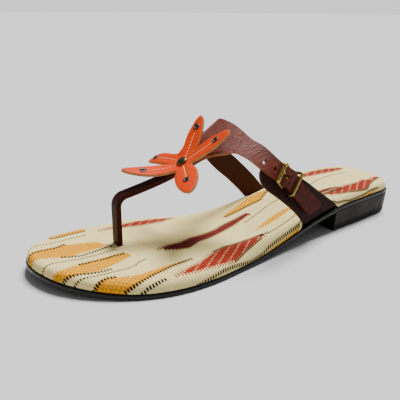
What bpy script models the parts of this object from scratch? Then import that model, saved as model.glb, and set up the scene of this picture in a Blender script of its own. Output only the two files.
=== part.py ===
"""T-strap thong sandal: a low leather heel, a padded footbed, a buckled T-strap and a starfish ornament.

A left shoe, empty, standing on its sole. Metres, +Z up. The toe points to -X, the outer side of the foot
is at -Y, the floor is z = 0 and the origin is the middle of the sole's plan on the floor.

Places on the shoe are worked out in two frames and then set into the world:
  the plan:    along (from the back of the heel to the toe) and across (outer side negative)
  the pattern: along and girth (measured round the foot from the top of the instep, outer side negative),
               in which the straps are cut flat as a maker cuts them, before they are lasted over the foot.
"""
import math
from collections import namedtuple
from functools import lru_cache

import bmesh
import bpy
import numpy as np
from mathutils import Matrix, Vector


def table(columns, *rows):
    """A table whose rows have named columns."""
    row_type = namedtuple("Row", columns)
    return tuple(row_type(*row) for row in rows)


# Sole
SOLE_LENGTH = 0.2460
BALL_WIDTH = 0.0904
HEEL_HEIGHT = 0.0142          # floor to the outsole's underside at the heel seat
TOE_SPRING = 0.0049
TOE_SPRING_POWER = 1.8
OUTSOLE_THICKNESS = 0.0026
OUTSOLE_EDGE_RADIUS = 0.0008
FOOTBED_THICKNESS = 0.0055
FOOTBED_EDGE_RADIUS = 0.0040
FOOTBED_CROWN = 0.0004
FOOTBED_CROWN_INSET = 0.0085
LEDGE = 0.0009                # how far the outsole shows beyond the footbed
SEAT_SHARE = 0.188            # the level heel seat ends here, as a share of the length
TREAD_START_SHARE = 0.602     # the sole lies flat on the floor from here
TREAD_END_SHARE = 0.818       # to here, where the toe spring starts

# Heel
HEEL_LENGTH = 0.0651
HEEL_TAPER = 0.0011
HEEL_LIFT_THICKNESS = 0.0034
HEEL_EDGE_RADIUS = 0.0005

# Straps
STRAP_THICKNESS = 0.0020
POST_THICKNESS = 0.0030       # the thong is folded double where it goes between the toes
STRAP_EDGE_RADIUS = 0.0005
INSTEP_RISE = 0.0600          # footbed to the underside of the strap, at the middle of the band
FOOT_GIRTH = 0.0900           # from the top of the instep to the sole, down one side
FOOT_FULLNESS = 2.4           # exponent of the foot's section, 2 is an ellipse
BEND_RADIUS = 0.0045          # inner radius where the thong turns down between the toes
TURN_RADIUS = 0.0008          # inner radius where a strap turns under the footbed
LASTING_MARGIN = 0.0080       # how much of a strap lies under the footbed
THICKENING_SHARE = 0.6060     # the stem starts to thicken towards the post here, as a share of SOLE_LENGTH
STRAP_HOLE_RADIUS = 0.0011
TIP_CORNER_RADIUS = 0.0022
STRAP_END_WIDTH = 0.0104
STRAP_BOW = 0.0003            # how far a strap curves away from a straight bar across it
OVERLAP_START_SHARE = 0.270   # the band starts to climb onto the buckle strap here, as a share of FOOT_GIRTH
OVERLAP_END_SHARE = 0.420
HUMP_REACH = 0.0050           # how far the strap's rise over the heel bar spreads

# Buckle and keeper
BUCKLE_WIDTH = 0.0121         # between the middles of the two side arms
BUCKLE_LENGTH = 0.0088        # from the heel bar to the front bar
FRONT_BAR_RADIUS = 0.00125
HEEL_BAR_RADIUS = 0.00050
SIDE_ARM_RADIUS = 0.00055
BUCKLE_CORNER = 0.0018
PRONG_RADIUS = 0.00045
PRONG_RING_START = 11         # degrees round the heel bar, from the way up the strap
PRONG_RING_END = 301
PRONG_TIP_END = 62            # degrees round the front bar, where the prong's tip ends
PRONG_SLOT_LENGTH = 0.0048
PRONG_SLOT_WIDTH = 0.0020
PRONG_SLOT_SETOFF = 0.0043    # from the heel bar to the middle of the slot in the strap's end
ANCHOR_SLOT_SETOFF = 0.0005   # the same for the slot in the buckle strap
ANCHOR_SLOT_LENGTH = 0.0056
KEEPER_RADIUS = 0.00065
KEEPER_CORNER = 0.0010
KEEPER_SETBACK = 0.0072       # from the heel bar towards the strap's tip
KEEPER_HOLE_RADIUS = 0.0012

# Starfish
STAR_THICKNESS = 0.0018
STAR_LEVEL_RADIUS = 0.0034    # the star is level this far out, under its stud
STAR_STANDOFF = 0.0006        # the strap dips under the star's middle, so the star stands a little off it
EYELET_FLANGE_RADIUS = 0.00165
EYELET_BARREL_RADIUS = 0.00115
EYELET_BORE_RADIUS = 0.00075
EYELET_FLANGE_THICKNESS = 0.0004
STUD_RADIUS = 0.0029
STUD_HEIGHT = 0.0015
STUD_SHANK_RADIUS = 0.0008

# Clearances
GLUE_GAP = 0.0003             # between two pieces that touch on the real shoe
HOLE_CLEARANCE = 0.0003       # all round a shank, a barrel or a leg in its hole

# The sole's plan: along as a share of SOLE_LENGTH, outer and inner edges as shares of BALL_WIDTH
PLAN = table(
    "along outer inner",
    (0.0041, -0.1416, 0.1427),
    (0.0280, -0.2500, 0.2500),
    (0.1146, -0.2942, 0.3131),
    (0.2488, -0.3296, 0.2876),
    (0.3707, -0.3573, 0.2588),
    (0.4927, -0.4071, 0.2854),
    (0.5943, -0.4546, 0.3606),
    (0.6837, -0.4900, 0.4591),
    (0.7675, -0.4812, 0.5044),
    (0.8504, -0.4060, 0.4989),
    (0.9317, -0.2445, 0.4358),
    (0.9805, -0.0619, 0.3208),
)
TOE_TIP_ACROSS = 0.1549

# The foot's top line: along as a share of SOLE_LENGTH, rise above the footbed as a share of INSTEP_RISE,
# across as a share of BALL_WIDTH. The thong turns down at the last row.
CREST = table(
    "along rise across",
    (0.3707, 1.337, 0.033),
    (0.4317, 1.231, 0.044),
    (0.4927, 1.089, 0.055),
    (0.5293, 1.000, 0.061),
    (0.5659, 0.901, 0.066),
    (0.6024, 0.790, 0.072),
    (0.6350, 0.693, 0.077),
    (0.6756, 0.596, 0.094),
    (0.7163, 0.530, 0.111),
    (0.7569, 0.476, 0.124),
    (0.7793, 0.450, 0.131),
)

# The band over the instep: girth as a share of FOOT_GIRTH, its two edges as shares of SOLE_LENGTH
BAND_OUTER = table(
    "girth rear front",
    (-0.945, 0.3275, 0.3840),
    (-0.800, 0.3818, 0.4282),
    (-0.700, 0.4137, 0.4593),
    (-0.600, 0.4435, 0.4905),
    (-0.520, 0.4682, 0.5158),
    (-0.440, 0.4895, 0.5355),
    (-0.360, 0.5060, 0.5490),
    (-0.290, 0.5160, 0.5610),
)
BAND_INNER = table(
    "girth rear front",
    (0.000, 0.5200, 0.5700),
    (0.160, 0.5130, 0.5610),
    (0.300, 0.5010, 0.5470),
    (0.440, 0.4780, 0.5280),
    (0.600, 0.4380, 0.4960),
    (0.800, 0.3830, 0.4440),
    (1.000, 0.3260, 0.3910),
)
# The stem of the T: along as a share of SOLE_LENGTH, its two edges as shares of FOOT_GIRTH
STEM = table(
    "along outer inner",
    (0.5740, -0.262, 0.135),
    (0.5880, -0.212, 0.085),
    (0.6060, -0.160, 0.032),
    (0.6350, -0.120, 0.000),
    (0.6756, -0.102, 0.002),
    (0.7163, -0.090, 0.009),
    (0.7569, -0.076, 0.024),
    (0.7793, -0.070, 0.030),
)
# The buckle strap, from the sole up its rear edge and down its front edge, in the same shares
ANCHOR_REAR = table(
    "along girth",
    (0.2650, -1.000),
    (0.3420, -0.835),
    (0.4060, -0.685),
    (0.4620, -0.545),
)
ANCHOR_TOP = table(
    "along girth",
    (0.4820, -0.480),
    (0.5070, -0.462),
    (0.5240, -0.492),
)
ANCHOR_FRONT = table(
    "along girth",
    (0.5280, -0.540),
    (0.5200, -0.600),
    (0.4690, -0.755),
    (0.4220, -0.890),
    (0.3870, -1.000),
)
# The buckle's heel bar in the pattern, and the way that the strap's end runs through it
HEEL_BAR_ALONG_SHARE = 0.4575
HEEL_BAR_GIRTH_SHARE = -0.630
STRAP_RUN = (0.655, 0.755)
STRAP_HOLE_STEPS = (0.0128, 0.0210)   # from the heel bar to each spare hole

# The starfish: arms by angle from the way that the stem runs up the foot, inner side positive. Lift is how far
# the tip stands up, curl how late it bends (an exponent), eyelet its station as a share of the arm's length and
# web the distance from the middle to the notch before the next arm.
ARMS = table(
    "name angle length half_width lift curl eyelet web",
    ("a", 30.0, 0.0315, 0.0047, 0.0072, 1.2, 0.76, 0.0100),
    ("e", 106.0, 0.0345, 0.0050, -0.0062, 2.9, 0.73, 0.0086),
    ("d", 162.0, 0.0290, 0.0042, 0.0108, 2.8, 0.70, 0.0078),
    ("c", 248.0, 0.0290, 0.0058, 0.0012, 1.3, 0.63, 0.0070),
    ("b", 337.0, 0.0312, 0.0047, 0.0052, 1.1, 0.71, 0.0092),
)
# An arm's outline: station as a share of its length, width as a share of its half width
ARM_PROFILE = table(
    "station width",
    (0.36, 0.97),
    (0.52, 1.00),
    (0.68, 0.92),
    (0.82, 0.70),
    (0.94, 0.42),
)
STAR_ALONG_SHARE = 0.6392
STAR_GIRTH_SHARE = -0.078

# Steps of the faceted shapes
PLAN_STEPS = 3                # points between two rows of the plan
PRONG_TIP_STEPS = 3
SECTION_STEPS = 48            # points of the foot's section that the straps are laid on
T_STRAP_CUT = 0.0060          # the leather is cut this fine, so that it bends
T_STRAP_END_CUT = 0.0044
T_STRAP_INNER_CUT = 0.0080
POST_CUT = 0.0080
BUCKLE_STRAP_CUT = 0.0080
BUCKLE_STRAP_GIRTH_CUT = 0.0052
STAR_CUT = 0.0056

COLOURS = {
    # colour, roughness, metallic
    "black_sole": ((0.020, 0.018, 0.016), 0.35, 0.0),
    "heel_black": ((0.030, 0.028, 0.022), 0.40, 0.0),
    "woven_footbed": ((0.80, 0.70, 0.50), 0.85, 0.0),
    "brown_leather": ((0.160, 0.035, 0.020), 0.35, 0.0),
    "orange_leather": ((0.90, 0.13, 0.008), 0.45, 0.0),
    "aged_brass": ((0.45, 0.35, 0.13), 0.35, 1.0),
    "black_eyelet": ((0.02, 0.02, 0.02), 0.40, 0.6),
    "pewter": ((0.22, 0.19, 0.14), 0.35, 1.0),
}


def smooth_step(t):
    """0 before 0, 1 after 1, level at both ends."""
    t = min(max(t, 0.0), 1.0)
    return t * t * (3.0 - 2.0 * t)


def column(rows, name):
    return [getattr(row, name) for row in rows]


def curve_value(stations, values, at):
    """A smooth curve through (stations, values), level beyond its ends."""
    if at <= stations[0]:
        return values[0]
    if at >= stations[-1]:
        return values[-1]
    slopes = np.gradient(values, stations)
    i = int(np.searchsorted(stations, at)) - 1
    step = stations[i + 1] - stations[i]
    t = (at - stations[i]) / step
    start = (2 * t ** 3 - 3 * t ** 2 + 1) * values[i] + (t ** 3 - 2 * t ** 2 + t) * step * slopes[i]
    end = (3 * t ** 2 - 2 * t ** 3) * values[i + 1] + (t ** 3 - t ** 2) * step * slopes[i + 1]
    return float(start + end)


def smooth_line(points, steps, closed=False):
    """Points on a centripetal Catmull-Rom curve, steps to a span."""
    points = [np.array(p, float) for p in points]
    count = len(points)
    if not closed:
        points = [2 * points[0] - points[1]] + points + [2 * points[-1] - points[-2]]
    line = []
    for i in range(count if closed else count - 1):
        if closed:
            a, b, c, d = (points[(i + k - 1) % count] for k in range(4))
        else:
            a, b, c, d = points[i:i + 4]
        knots = [0.0]
        for p, q in ((a, b), (b, c), (c, d)):
            knots.append(knots[-1] + math.sqrt(np.linalg.norm(q - p)))
        k0, k1, k2, k3 = knots
        for step in range(steps):
            k = k1 + (k2 - k1) * step / steps
            ab = (k1 - k) / (k1 - k0) * a + (k - k0) / (k1 - k0) * b
            bc = (k2 - k) / (k2 - k1) * b + (k - k1) / (k2 - k1) * c
            cd = (k3 - k) / (k3 - k2) * c + (k - k2) / (k3 - k2) * d
            abc = (k2 - k) / (k2 - k0) * ab + (k - k0) / (k2 - k0) * bc
            bcd = (k3 - k) / (k3 - k1) * bc + (k - k1) / (k3 - k1) * cd
            line.append((k2 - k) / (k2 - k1) * abc + (k - k1) / (k2 - k1) * bcd)
    if not closed:
        line.append(points[-2])
    return line


def offset_loop(loop, distance):
    """A closed loop of points moved sideways, outwards for a positive distance on a loop that runs counter-clockwise."""
    loop = [np.array(p, float) for p in loop]
    moved = []
    for i, point in enumerate(loop):
        run = loop[(i + 1) % len(loop)] - loop[i - 1]
        side = np.array((run[1], -run[0])) / np.linalg.norm(run)
        moved.append(point + side * distance)
    return moved


def round_corner(before, corner, after, radius, steps=4):
    """Arc points that replace the corner between two straight runs."""
    before, corner, after = (np.array(p, float) for p in (before, corner, after))
    back = (before - corner) / np.linalg.norm(before - corner)
    ahead = (after - corner) / np.linalg.norm(after - corner)
    half = math.acos(max(-1.0, min(1.0, float(back @ ahead)))) / 2
    reach = radius / math.tan(half)
    centre = corner + (back + ahead) / np.linalg.norm(back + ahead) * radius / math.sin(half)
    start = corner + back * reach - centre
    end = corner + ahead * reach - centre
    points = []
    for step in range(steps + 1):
        t = step / steps
        mixed = start * (1 - t) + end * t
        points.append(centre + mixed / np.linalg.norm(mixed) * radius)
    return points


def plan_loop():
    """The outsole's plan: from the heel's back along the outer side to the toe, and back along the inner side."""
    outer = [(row.along * SOLE_LENGTH, row.outer * BALL_WIDTH) for row in PLAN]
    inner = [(row.along * SOLE_LENGTH, row.inner * BALL_WIDTH) for row in PLAN]
    points = [(0.0, 0.0)] + outer + [(SOLE_LENGTH, TOE_TIP_ACROSS * BALL_WIDTH)] + inner[::-1]
    return smooth_line(points, PLAN_STEPS, closed=True)


PLAN_LOOP = plan_loop()
PLAN_HALF = len(PLAN_LOOP) // 2
MIDDLE_ALONG = (min(p[0] for p in PLAN_LOOP) + max(p[0] for p in PLAN_LOOP)) / 2
MIDDLE_ACROSS = (min(p[1] for p in PLAN_LOOP) + max(p[1] for p in PLAN_LOOP)) / 2
OUTER_EDGE = sorted((p[0], p[1]) for p in PLAN_LOOP[:PLAN_HALF + 1])
INNER_EDGE = sorted((p[0], p[1]) for p in [PLAN_LOOP[0]] + PLAN_LOOP[PLAN_HALF:])


def world(along, across, up):
    """A place in the shoe's plan as a place in the world."""
    return Vector((MIDDLE_ALONG - along, across - MIDDLE_ACROSS, up))


def edge_across(edge, along):
    return float(np.interp(along, [p[0] for p in edge], [p[1] for p in edge]))


def underside(along):
    """Height of the outsole's underside: heel seat, arch, tread on the floor, toe spring."""
    seat = SEAT_SHARE * SOLE_LENGTH
    tread_start = TREAD_START_SHARE * SOLE_LENGTH
    tread_end = TREAD_END_SHARE * SOLE_LENGTH
    fall = smooth_step((along - seat) / (tread_start - seat))
    spring = max(0.0, (along - tread_end) / (SOLE_LENGTH - tread_end))
    return HEEL_HEIGHT * (1.0 - fall) + TOE_SPRING * spring ** TOE_SPRING_POWER


def outsole_top(along):
    return underside(along) + OUTSOLE_THICKNESS


def footbed_base(along):
    return outsole_top(along) + GLUE_GAP


def footbed_top(along):
    return footbed_base(along) + FOOTBED_THICKNESS


def rounded_edge(thickness, low_radius, high_radius, low_steps=2, high_steps=3):
    """(inset, height) of a slab's edge, rounded below and above."""
    layers = []
    for step in range(low_steps + 1):
        angle = math.pi / 2 * step / low_steps
        layers.append((low_radius * (1 - math.sin(angle)), low_radius * (1 - math.cos(angle))))
    for step in range(high_steps + 1):
        angle = math.pi / 2 * step / high_steps
        layers.append((high_radius * (1 - math.cos(angle)), thickness - high_radius * (1 - math.sin(angle))))
    return layers


def finish_mesh(name, bm, colour, smooth=True):
    """Turn a closed bmesh into the named object with its own material."""
    bmesh.ops.remove_doubles(bm, verts=bm.verts[:], dist=1e-6)
    bmesh.ops.recalc_face_normals(bm, faces=bm.faces[:])
    mesh = bpy.data.meshes.new(name)
    bm.to_mesh(mesh)
    bm.free()
    if smooth:
        mesh.shade_smooth()
        mesh.set_sharp_from_angle(angle=math.radians(40))
    thing = bpy.data.objects.new(name, mesh)
    bpy.context.collection.objects.link(thing)
    paint(thing, name, colour)
    return thing


def paint(thing, name, colour):
    base, roughness, metallic = COLOURS[colour]
    material = bpy.data.materials.new(name + "_" + colour)
    material.use_nodes = True
    shader = material.node_tree.nodes["Principled BSDF"]
    shader.inputs["Base Color"].default_value = (*base, 1.0)
    shader.inputs["Roughness"].default_value = roughness
    shader.inputs["Metallic"].default_value = metallic
    thing.data.materials.clear()
    thing.data.materials.append(material)


def slab(layers, base, extra_inset=0.0):
    """A closed body of the sole's plan. Layers are (inset, height above base), from the underside to the top."""
    bm = bmesh.new()
    rings = []
    for inset, height in layers:
        loop = offset_loop(PLAN_LOOP, -(inset + extra_inset))
        rings.append([bm.verts.new(world(a, c, base(a) + height)) for a, c in loop])
    count = len(PLAN_LOOP)
    for low, high in zip(rings, rings[1:]):
        for i in range(count):
            j = (i + 1) % count
            bm.faces.new((low[i], low[j], high[j], high[i]))
    for ring in (rings[0], rings[-1]):
        for i in range(PLAN_HALF):
            corners = [ring[i], ring[i + 1], ring[-(i + 1)], ring[-i] if i else ring[0]]
            bm.faces.new(list(dict.fromkeys(corners)))
    return bm


def cut_at_breast(bm):
    """Keep what lies behind the heel's breast, and close the cut with one flat face."""
    geometry = bm.verts[:] + bm.edges[:] + bm.faces[:]
    bmesh.ops.bisect_plane(bm, geom=geometry, dist=1e-7, plane_co=world(HEEL_LENGTH, 0, 0),
                           plane_no=(-1, 0, 0), clear_outer=True)
    rim = [edge for edge in bm.edges if edge.is_boundary]
    bmesh.ops.edgeloop_fill(bm, edges=rim)


def make_outsole():
    layers = rounded_edge(OUTSOLE_THICKNESS, OUTSOLE_EDGE_RADIUS / 2, OUTSOLE_EDGE_RADIUS)
    return finish_mesh("outsole", slab(layers, underside), "black_sole")


def make_footbed():
    layers = rounded_edge(FOOTBED_THICKNESS, GLUE_GAP, FOOTBED_EDGE_RADIUS, low_steps=1, high_steps=4)
    layers.append((FOOTBED_CROWN_INSET, FOOTBED_THICKNESS + FOOTBED_CROWN))
    return finish_mesh("footbed", slab(layers, footbed_base, LEDGE), "woven_footbed")


def make_heel_block():
    """The block under the heel seat, from the lift to the outsole, tapered all round but for its flat breast."""
    low = HEEL_LIFT_THICKNESS + GLUE_GAP

    def height(along, share):
        return low + (underside(along) - GLUE_GAP - low) * share

    bm = slab([(HEEL_TAPER * (1 - low / HEEL_HEIGHT), 0.0), (0.0, 1.0)], lambda along: 0.0)
    for vertex in bm.verts:
        vertex.co.z = height(MIDDLE_ALONG - vertex.co.x, vertex.co.z)
    cut_at_breast(bm)
    return finish_mesh("heel_block", bm, "heel_black")


def make_heel_lift():
    top_inset = HEEL_TAPER * (1 - HEEL_LIFT_THICKNESS / HEEL_HEIGHT)
    layers = [(HEEL_TAPER + HEEL_EDGE_RADIUS, 0.0), (HEEL_TAPER, HEEL_EDGE_RADIUS), (top_inset, HEEL_LIFT_THICKNESS)]
    bm = slab(layers, lambda along: 0.0)
    cut_at_breast(bm)
    return finish_mesh("heel_lift", bm, "heel_black")


BEND_ALONG = CREST[-1].along * SOLE_LENGTH
STRAP_BASE_RISE = GLUE_GAP + STRAP_THICKNESS + TURN_RADIUS   # a strap's turn starts this far above the outsole


def crest_height(along):
    rise = curve_value(column(CREST, "along"), column(CREST, "rise"), along / SOLE_LENGTH)
    return footbed_top(along) + rise * INSTEP_RISE


def crest_across(along):
    return curve_value(column(CREST, "along"), column(CREST, "across"), along / SOLE_LENGTH) * BALL_WIDTH


BEND_START_TILT = math.atan2(crest_height(BEND_ALONG - 0.001) - crest_height(BEND_ALONG), 0.001)
BEND_SWEEP = math.pi / 2 - BEND_START_TILT
BEND_PATH = BEND_SWEEP * BEND_RADIUS
POST_ALONG = BEND_ALONG + BEND_RADIUS * (1 - math.sin(BEND_START_TILT))
POST_TOP = crest_height(BEND_ALONG) - BEND_RADIUS * math.cos(BEND_START_TILT)
POST_PATH = POST_TOP - footbed_base(POST_ALONG)


@lru_cache(maxsize=None)
def side_path(along, side):
    """One side of the foot's section at this station: path lengths, outward and upward places.

    It runs from the crest down the side of the foot, turns under the footbed and ends under it.
    """
    base = outsole_top(along) + STRAP_BASE_RISE
    height = crest_height(along) - base
    edge = edge_across(OUTER_EDGE if side < 0 else INNER_EDGE, along)
    inset = LEDGE + STRAP_THICKNESS
    half_width = abs(edge - crest_across(along)) - inset
    outs = []
    ups = []
    for step in range(SECTION_STEPS + 1):
        angle = math.pi / 2 * step / SECTION_STEPS
        outs.append(half_width * math.sin(angle) ** (2 / FOOT_FULLNESS))
        ups.append(base + height * max(0.0, math.cos(angle)) ** (2 / FOOT_FULLNESS))
    lengths = np.concatenate(([0.0], np.cumsum(np.hypot(np.diff(outs), np.diff(ups)))))
    return lengths, np.array(outs), np.array(ups), base, half_width


def foot_skin(along, girth):
    """A point on the foot, or on the path that a strap's inner face takes under the footbed.

    Along is measured down the thong's own path beyond the bend.
    """
    side = -1 if girth < 0 else 1
    share = abs(girth) / FOOT_GIRTH
    lengths, outs, ups, base, half_width = side_path(min(along, BEND_ALONG), side)
    if share <= 1:
        out = float(np.interp(share * lengths[-1], lengths, outs))
        up = float(np.interp(share * lengths[-1], lengths, ups))
    else:
        run = (share - 1) * FOOT_GIRTH
        turn = min(run / TURN_RADIUS, math.pi / 2)
        under = max(0.0, run - TURN_RADIUS * math.pi / 2)
        out = half_width - TURN_RADIUS * (1 - math.cos(turn)) - under
        up = base - TURN_RADIUS * math.sin(turn)
    across = crest_across(min(along, BEND_ALONG)) + side * out
    if along <= BEND_ALONG:
        return world(along, across, up)
    path = along - BEND_ALONG
    drop = crest_height(BEND_ALONG) - up
    turn = BEND_START_TILT + min(path / BEND_RADIUS, BEND_SWEEP)
    down = max(0.0, path - BEND_PATH)
    centre_along = BEND_ALONG - BEND_RADIUS * math.sin(BEND_START_TILT)
    centre_up = crest_height(BEND_ALONG) - BEND_RADIUS * math.cos(BEND_START_TILT)
    reach = BEND_RADIUS - drop
    return world(centre_along + reach * math.sin(turn), across, centre_up + reach * math.cos(turn) - down)


def foot_normal(along, girth):
    """The way out of the foot at a place in the pattern."""
    step = 0.0004
    down_the_foot = foot_skin(along + step, girth) - foot_skin(along - step, girth)
    round_the_foot = foot_skin(along, girth + step) - foot_skin(along, girth - step)
    return round_the_foot.cross(down_the_foot).normalized()


def lasted(along, girth, height):
    """A place in the pattern, at a height above the foot's skin, as a place in the world."""
    return foot_skin(along, girth) + foot_normal(along, girth) * height


def cut_leather(outline, thickness, edge_radius, along_cuts, girth_cuts, holes=()):
    """A flat piece of leather with rounded edges, its faces cut small enough to bend.

    Outline and holes are loops of (along, girth). The piece lies on z = 0 with its outer face up.
    """
    bm = bmesh.new()
    for loop in (outline, *holes):
        verts = [bm.verts.new((p[0], p[1], 0.0)) for p in loop]
        for first, second in zip(verts, verts[1:] + verts[:1]):
            bm.edges.new((first, second))
    bmesh.ops.triangle_fill(bm, use_beauty=True, use_dissolve=False, edges=bm.edges[:], normal=(0, 0, 1))
    bmesh.ops.recalc_face_normals(bm, faces=bm.faces[:])
    if bm.faces[:] and bm.faces[0].normal.z < 0:
        bmesh.ops.reverse_faces(bm, faces=bm.faces[:])
    for cuts, normal in ((along_cuts, (1, 0, 0)), (girth_cuts, (0, 1, 0))):
        for cut in cuts:
            geometry = bm.verts[:] + bm.edges[:] + bm.faces[:]
            bmesh.ops.bisect_plane(bm, geom=geometry, dist=2e-5, plane_co=Vector(normal) * cut, plane_no=normal)
    flat = bm.faces[:]
    made = bmesh.ops.extrude_face_region(bm, geom=flat)
    raised = [item for item in made["geom"] if isinstance(item, bmesh.types.BMVert)]
    bmesh.ops.translate(bm, verts=raised, vec=(0, 0, thickness))
    bmesh.ops.recalc_face_normals(bm, faces=bm.faces[:])
    if edge_radius:
        rims = []
        for edge in bm.edges:
            if len(edge.link_faces) == 2:
                flats = [abs(face.normal.z) > 0.5 for face in edge.link_faces]
                if flats[0] != flats[1]:
                    rims.append(edge)
        bmesh.ops.bevel(bm, geom=rims, offset=edge_radius, offset_type="OFFSET", segments=1, profile=0.5,
                        affect="EDGES", material=-1, clamp_overlap=True)
    return bm


def last_leather(bm, lift):
    """Bend a flat piece over the foot. lift(along, girth) is the height of its inner face over the skin."""
    for vertex in bm.verts:
        along, girth, height = vertex.co
        vertex.co = lasted(along, girth, lift(along, girth, height))


def regular_cuts(start, end, step):
    count = max(1, round((end - start) / step))
    return [start + (end - start) * i / count for i in range(count + 1)]


def pattern_points(rows, along, girth):
    """Places in the pattern from two named columns of a table."""
    return [(getattr(row, along) * SOLE_LENGTH, getattr(row, girth) * FOOT_GIRTH) for row in rows]


UNDER_FOOTBED = TURN_RADIUS * math.pi / 2 + LASTING_MARGIN
POST_END = BEND_ALONG + BEND_PATH + POST_PATH


def t_strap_outline():
    """The T as it is cut: round the band's rear edge to the inner side, back along its front and down the stem."""
    rear = pattern_points(BAND_OUTER + BAND_INNER, "rear", "girth")
    front_outer = pattern_points(BAND_OUTER[::-1], "front", "girth")
    front_inner = pattern_points(BAND_INNER[:0:-1], "front", "girth")
    stem_inner = pattern_points(STEM, "along", "inner")
    stem_outer = pattern_points(STEM[::-1], "along", "outer")
    end_girth = FOOT_GIRTH + UNDER_FOOTBED
    rear_line = smooth_line(rear, 2)
    inner_line = smooth_line(front_inner + stem_inner, 2)
    outer_line = smooth_line(stem_outer + front_outer, 2)
    tip_front = round_corner(outer_line[-2], outer_line[-1], rear_line[0], TIP_CORNER_RADIUS)
    tip_rear = round_corner(outer_line[-1], rear_line[0], rear_line[1], TIP_CORNER_RADIUS)
    under = [(rear[-1][0], end_girth), (front_inner[0][0], end_girth)]
    post = [(POST_END, stem_inner[-1][1]), (POST_END, stem_outer[0][1])]
    return rear_line[1:] + under + inner_line + post + outer_line[:-1] + tip_front + tip_rear


def anchor_outline():
    """The buckle strap as it is cut: up its rear edge, over its rounded top and down its front."""
    rear = pattern_points(ANCHOR_REAR, "along", "girth")
    top = pattern_points(ANCHOR_TOP, "along", "girth")
    front = pattern_points(ANCHOR_FRONT, "along", "girth")
    end_girth = -(FOOT_GIRTH + UNDER_FOOTBED)
    line = smooth_line(rear + top + front, 2)
    return [(rear[0][0], end_girth)] + line + [(front[-1][0], end_girth)]


def grow_loop(loop, distance):
    """A closed loop grown on every side by the distance."""
    loop = [np.array(p, float) for p in loop]
    area = sum(p[0] * q[1] - q[0] * p[1] for p, q in zip(loop, loop[1:] + loop[:1]))
    return offset_loop(loop, distance if area > 0 else -distance)


def round_hole(centre, radius, sides=8):
    return [(centre[0] + radius * math.cos(2 * math.pi * i / sides),
             centre[1] + radius * math.sin(2 * math.pi * i / sides)) for i in range(sides)]


def long_hole(centre, run, length, width, steps=4):
    """A slot with round ends, its length along run."""
    run = np.array(run, float)
    cross = np.array((-run[1], run[0]))
    points = []
    for end in (1, -1):
        middle = np.array(centre) + run * end * (length - width) / 2
        for step in range(steps + 1):
            angle = math.pi * (step / steps - 0.5)
            points.append(middle + end * width / 2 * (run * math.cos(angle) + cross * math.sin(angle)))
    return points


HEEL_BAR_PLACE = np.array((HEEL_BAR_ALONG_SHARE * SOLE_LENGTH, HEEL_BAR_GIRTH_SHARE * FOOT_GIRTH))
RUN = np.array(STRAP_RUN) / np.linalg.norm(STRAP_RUN)
CROSS = np.array((RUN[1], -RUN[0]))


def along_strap(distance, across=0.0):
    """A place in the pattern by its distance from the buckle's heel bar up the strap, and across it."""
    return HEEL_BAR_PLACE + RUN * distance + CROSS * across


HEEL_BAR_RISE = STRAP_THICKNESS + GLUE_GAP + HEEL_BAR_RADIUS
PRONG_RING_RADIUS = HEEL_BAR_RADIUS + HOLE_CLEARANCE + PRONG_RADIUS
HUMP_HEIGHT = HEEL_BAR_RISE + PRONG_RING_RADIUS + PRONG_RADIUS + GLUE_GAP - (STRAP_THICKNESS + GLUE_GAP)


def band_lift(along, girth):
    """Height of the T-strap's inner face: on the foot, then over the buckle strap, with a hump at the heel bar."""
    share = -girth / FOOT_GIRTH
    climb = smooth_step((share - OVERLAP_START_SHARE) / (OVERLAP_END_SHARE - OVERLAP_START_SHARE))
    if climb == 0.0 or along > BEND_ALONG:
        return 0.0
    distance = float((np.array((along, girth)) - HEEL_BAR_PLACE) @ RUN)
    hump = HUMP_HEIGHT * math.exp(-(distance / HUMP_REACH) ** 2)
    return climb * (STRAP_THICKNESS + GLUE_GAP + hump)


def stem_thickening(along):
    start = THICKENING_SHARE * SOLE_LENGTH
    return 1 + (POST_THICKNESS / STRAP_THICKNESS - 1) * smooth_step((along - start) / (BEND_ALONG - start))


def turn_cuts(side):
    """Cuts that let a strap bend under the footbed on one side."""
    return [side * (FOOT_GIRTH + TURN_RADIUS * math.pi / 2 * i / 3) for i in range(4)]


def t_strap_leather(clearance, holes):
    outline = t_strap_outline()
    if clearance:
        outline = grow_loop(outline, clearance)
    along_cuts = regular_cuts(0.32 * SOLE_LENGTH, BEND_ALONG - BEND_RADIUS / 2, T_STRAP_CUT)
    along_cuts += regular_cuts(BEND_ALONG, BEND_ALONG + BEND_PATH, BEND_PATH / 6)
    along_cuts += regular_cuts(BEND_ALONG + BEND_PATH, POST_END, POST_CUT)[1:-1]
    girth_cuts = regular_cuts(-0.94 * FOOT_GIRTH, -0.30 * FOOT_GIRTH, T_STRAP_END_CUT)
    girth_cuts += regular_cuts(-0.24 * FOOT_GIRTH, 0.96 * FOOT_GIRTH, T_STRAP_INNER_CUT) + turn_cuts(1)
    edge_radius = 0.0 if clearance else STRAP_EDGE_RADIUS
    bm = cut_leather(outline, STRAP_THICKNESS, edge_radius, along_cuts, girth_cuts, holes)

    def lift(along, girth, height):
        raised = height * stem_thickening(along) + band_lift(along, girth)
        return raised + clearance * (2 * height / STRAP_THICKNESS - 1)

    last_leather(bm, lift)
    return bm


def anchor_leather(clearance, holes):
    outline = anchor_outline()
    if clearance:
        outline = grow_loop(outline, clearance)
    along_cuts = regular_cuts(0.27 * SOLE_LENGTH, 0.53 * SOLE_LENGTH, BUCKLE_STRAP_CUT)
    girth_cuts = regular_cuts(-0.96 * FOOT_GIRTH, -0.46 * FOOT_GIRTH, BUCKLE_STRAP_GIRTH_CUT) + turn_cuts(-1)
    edge_radius = 0.0 if clearance else STRAP_EDGE_RADIUS
    bm = cut_leather(outline, STRAP_THICKNESS, edge_radius, along_cuts, girth_cuts, holes)

    def lift(along, girth, height):
        return height + clearance * (2 * height / STRAP_THICKNESS - 1)

    last_leather(bm, lift)
    return bm


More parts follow.
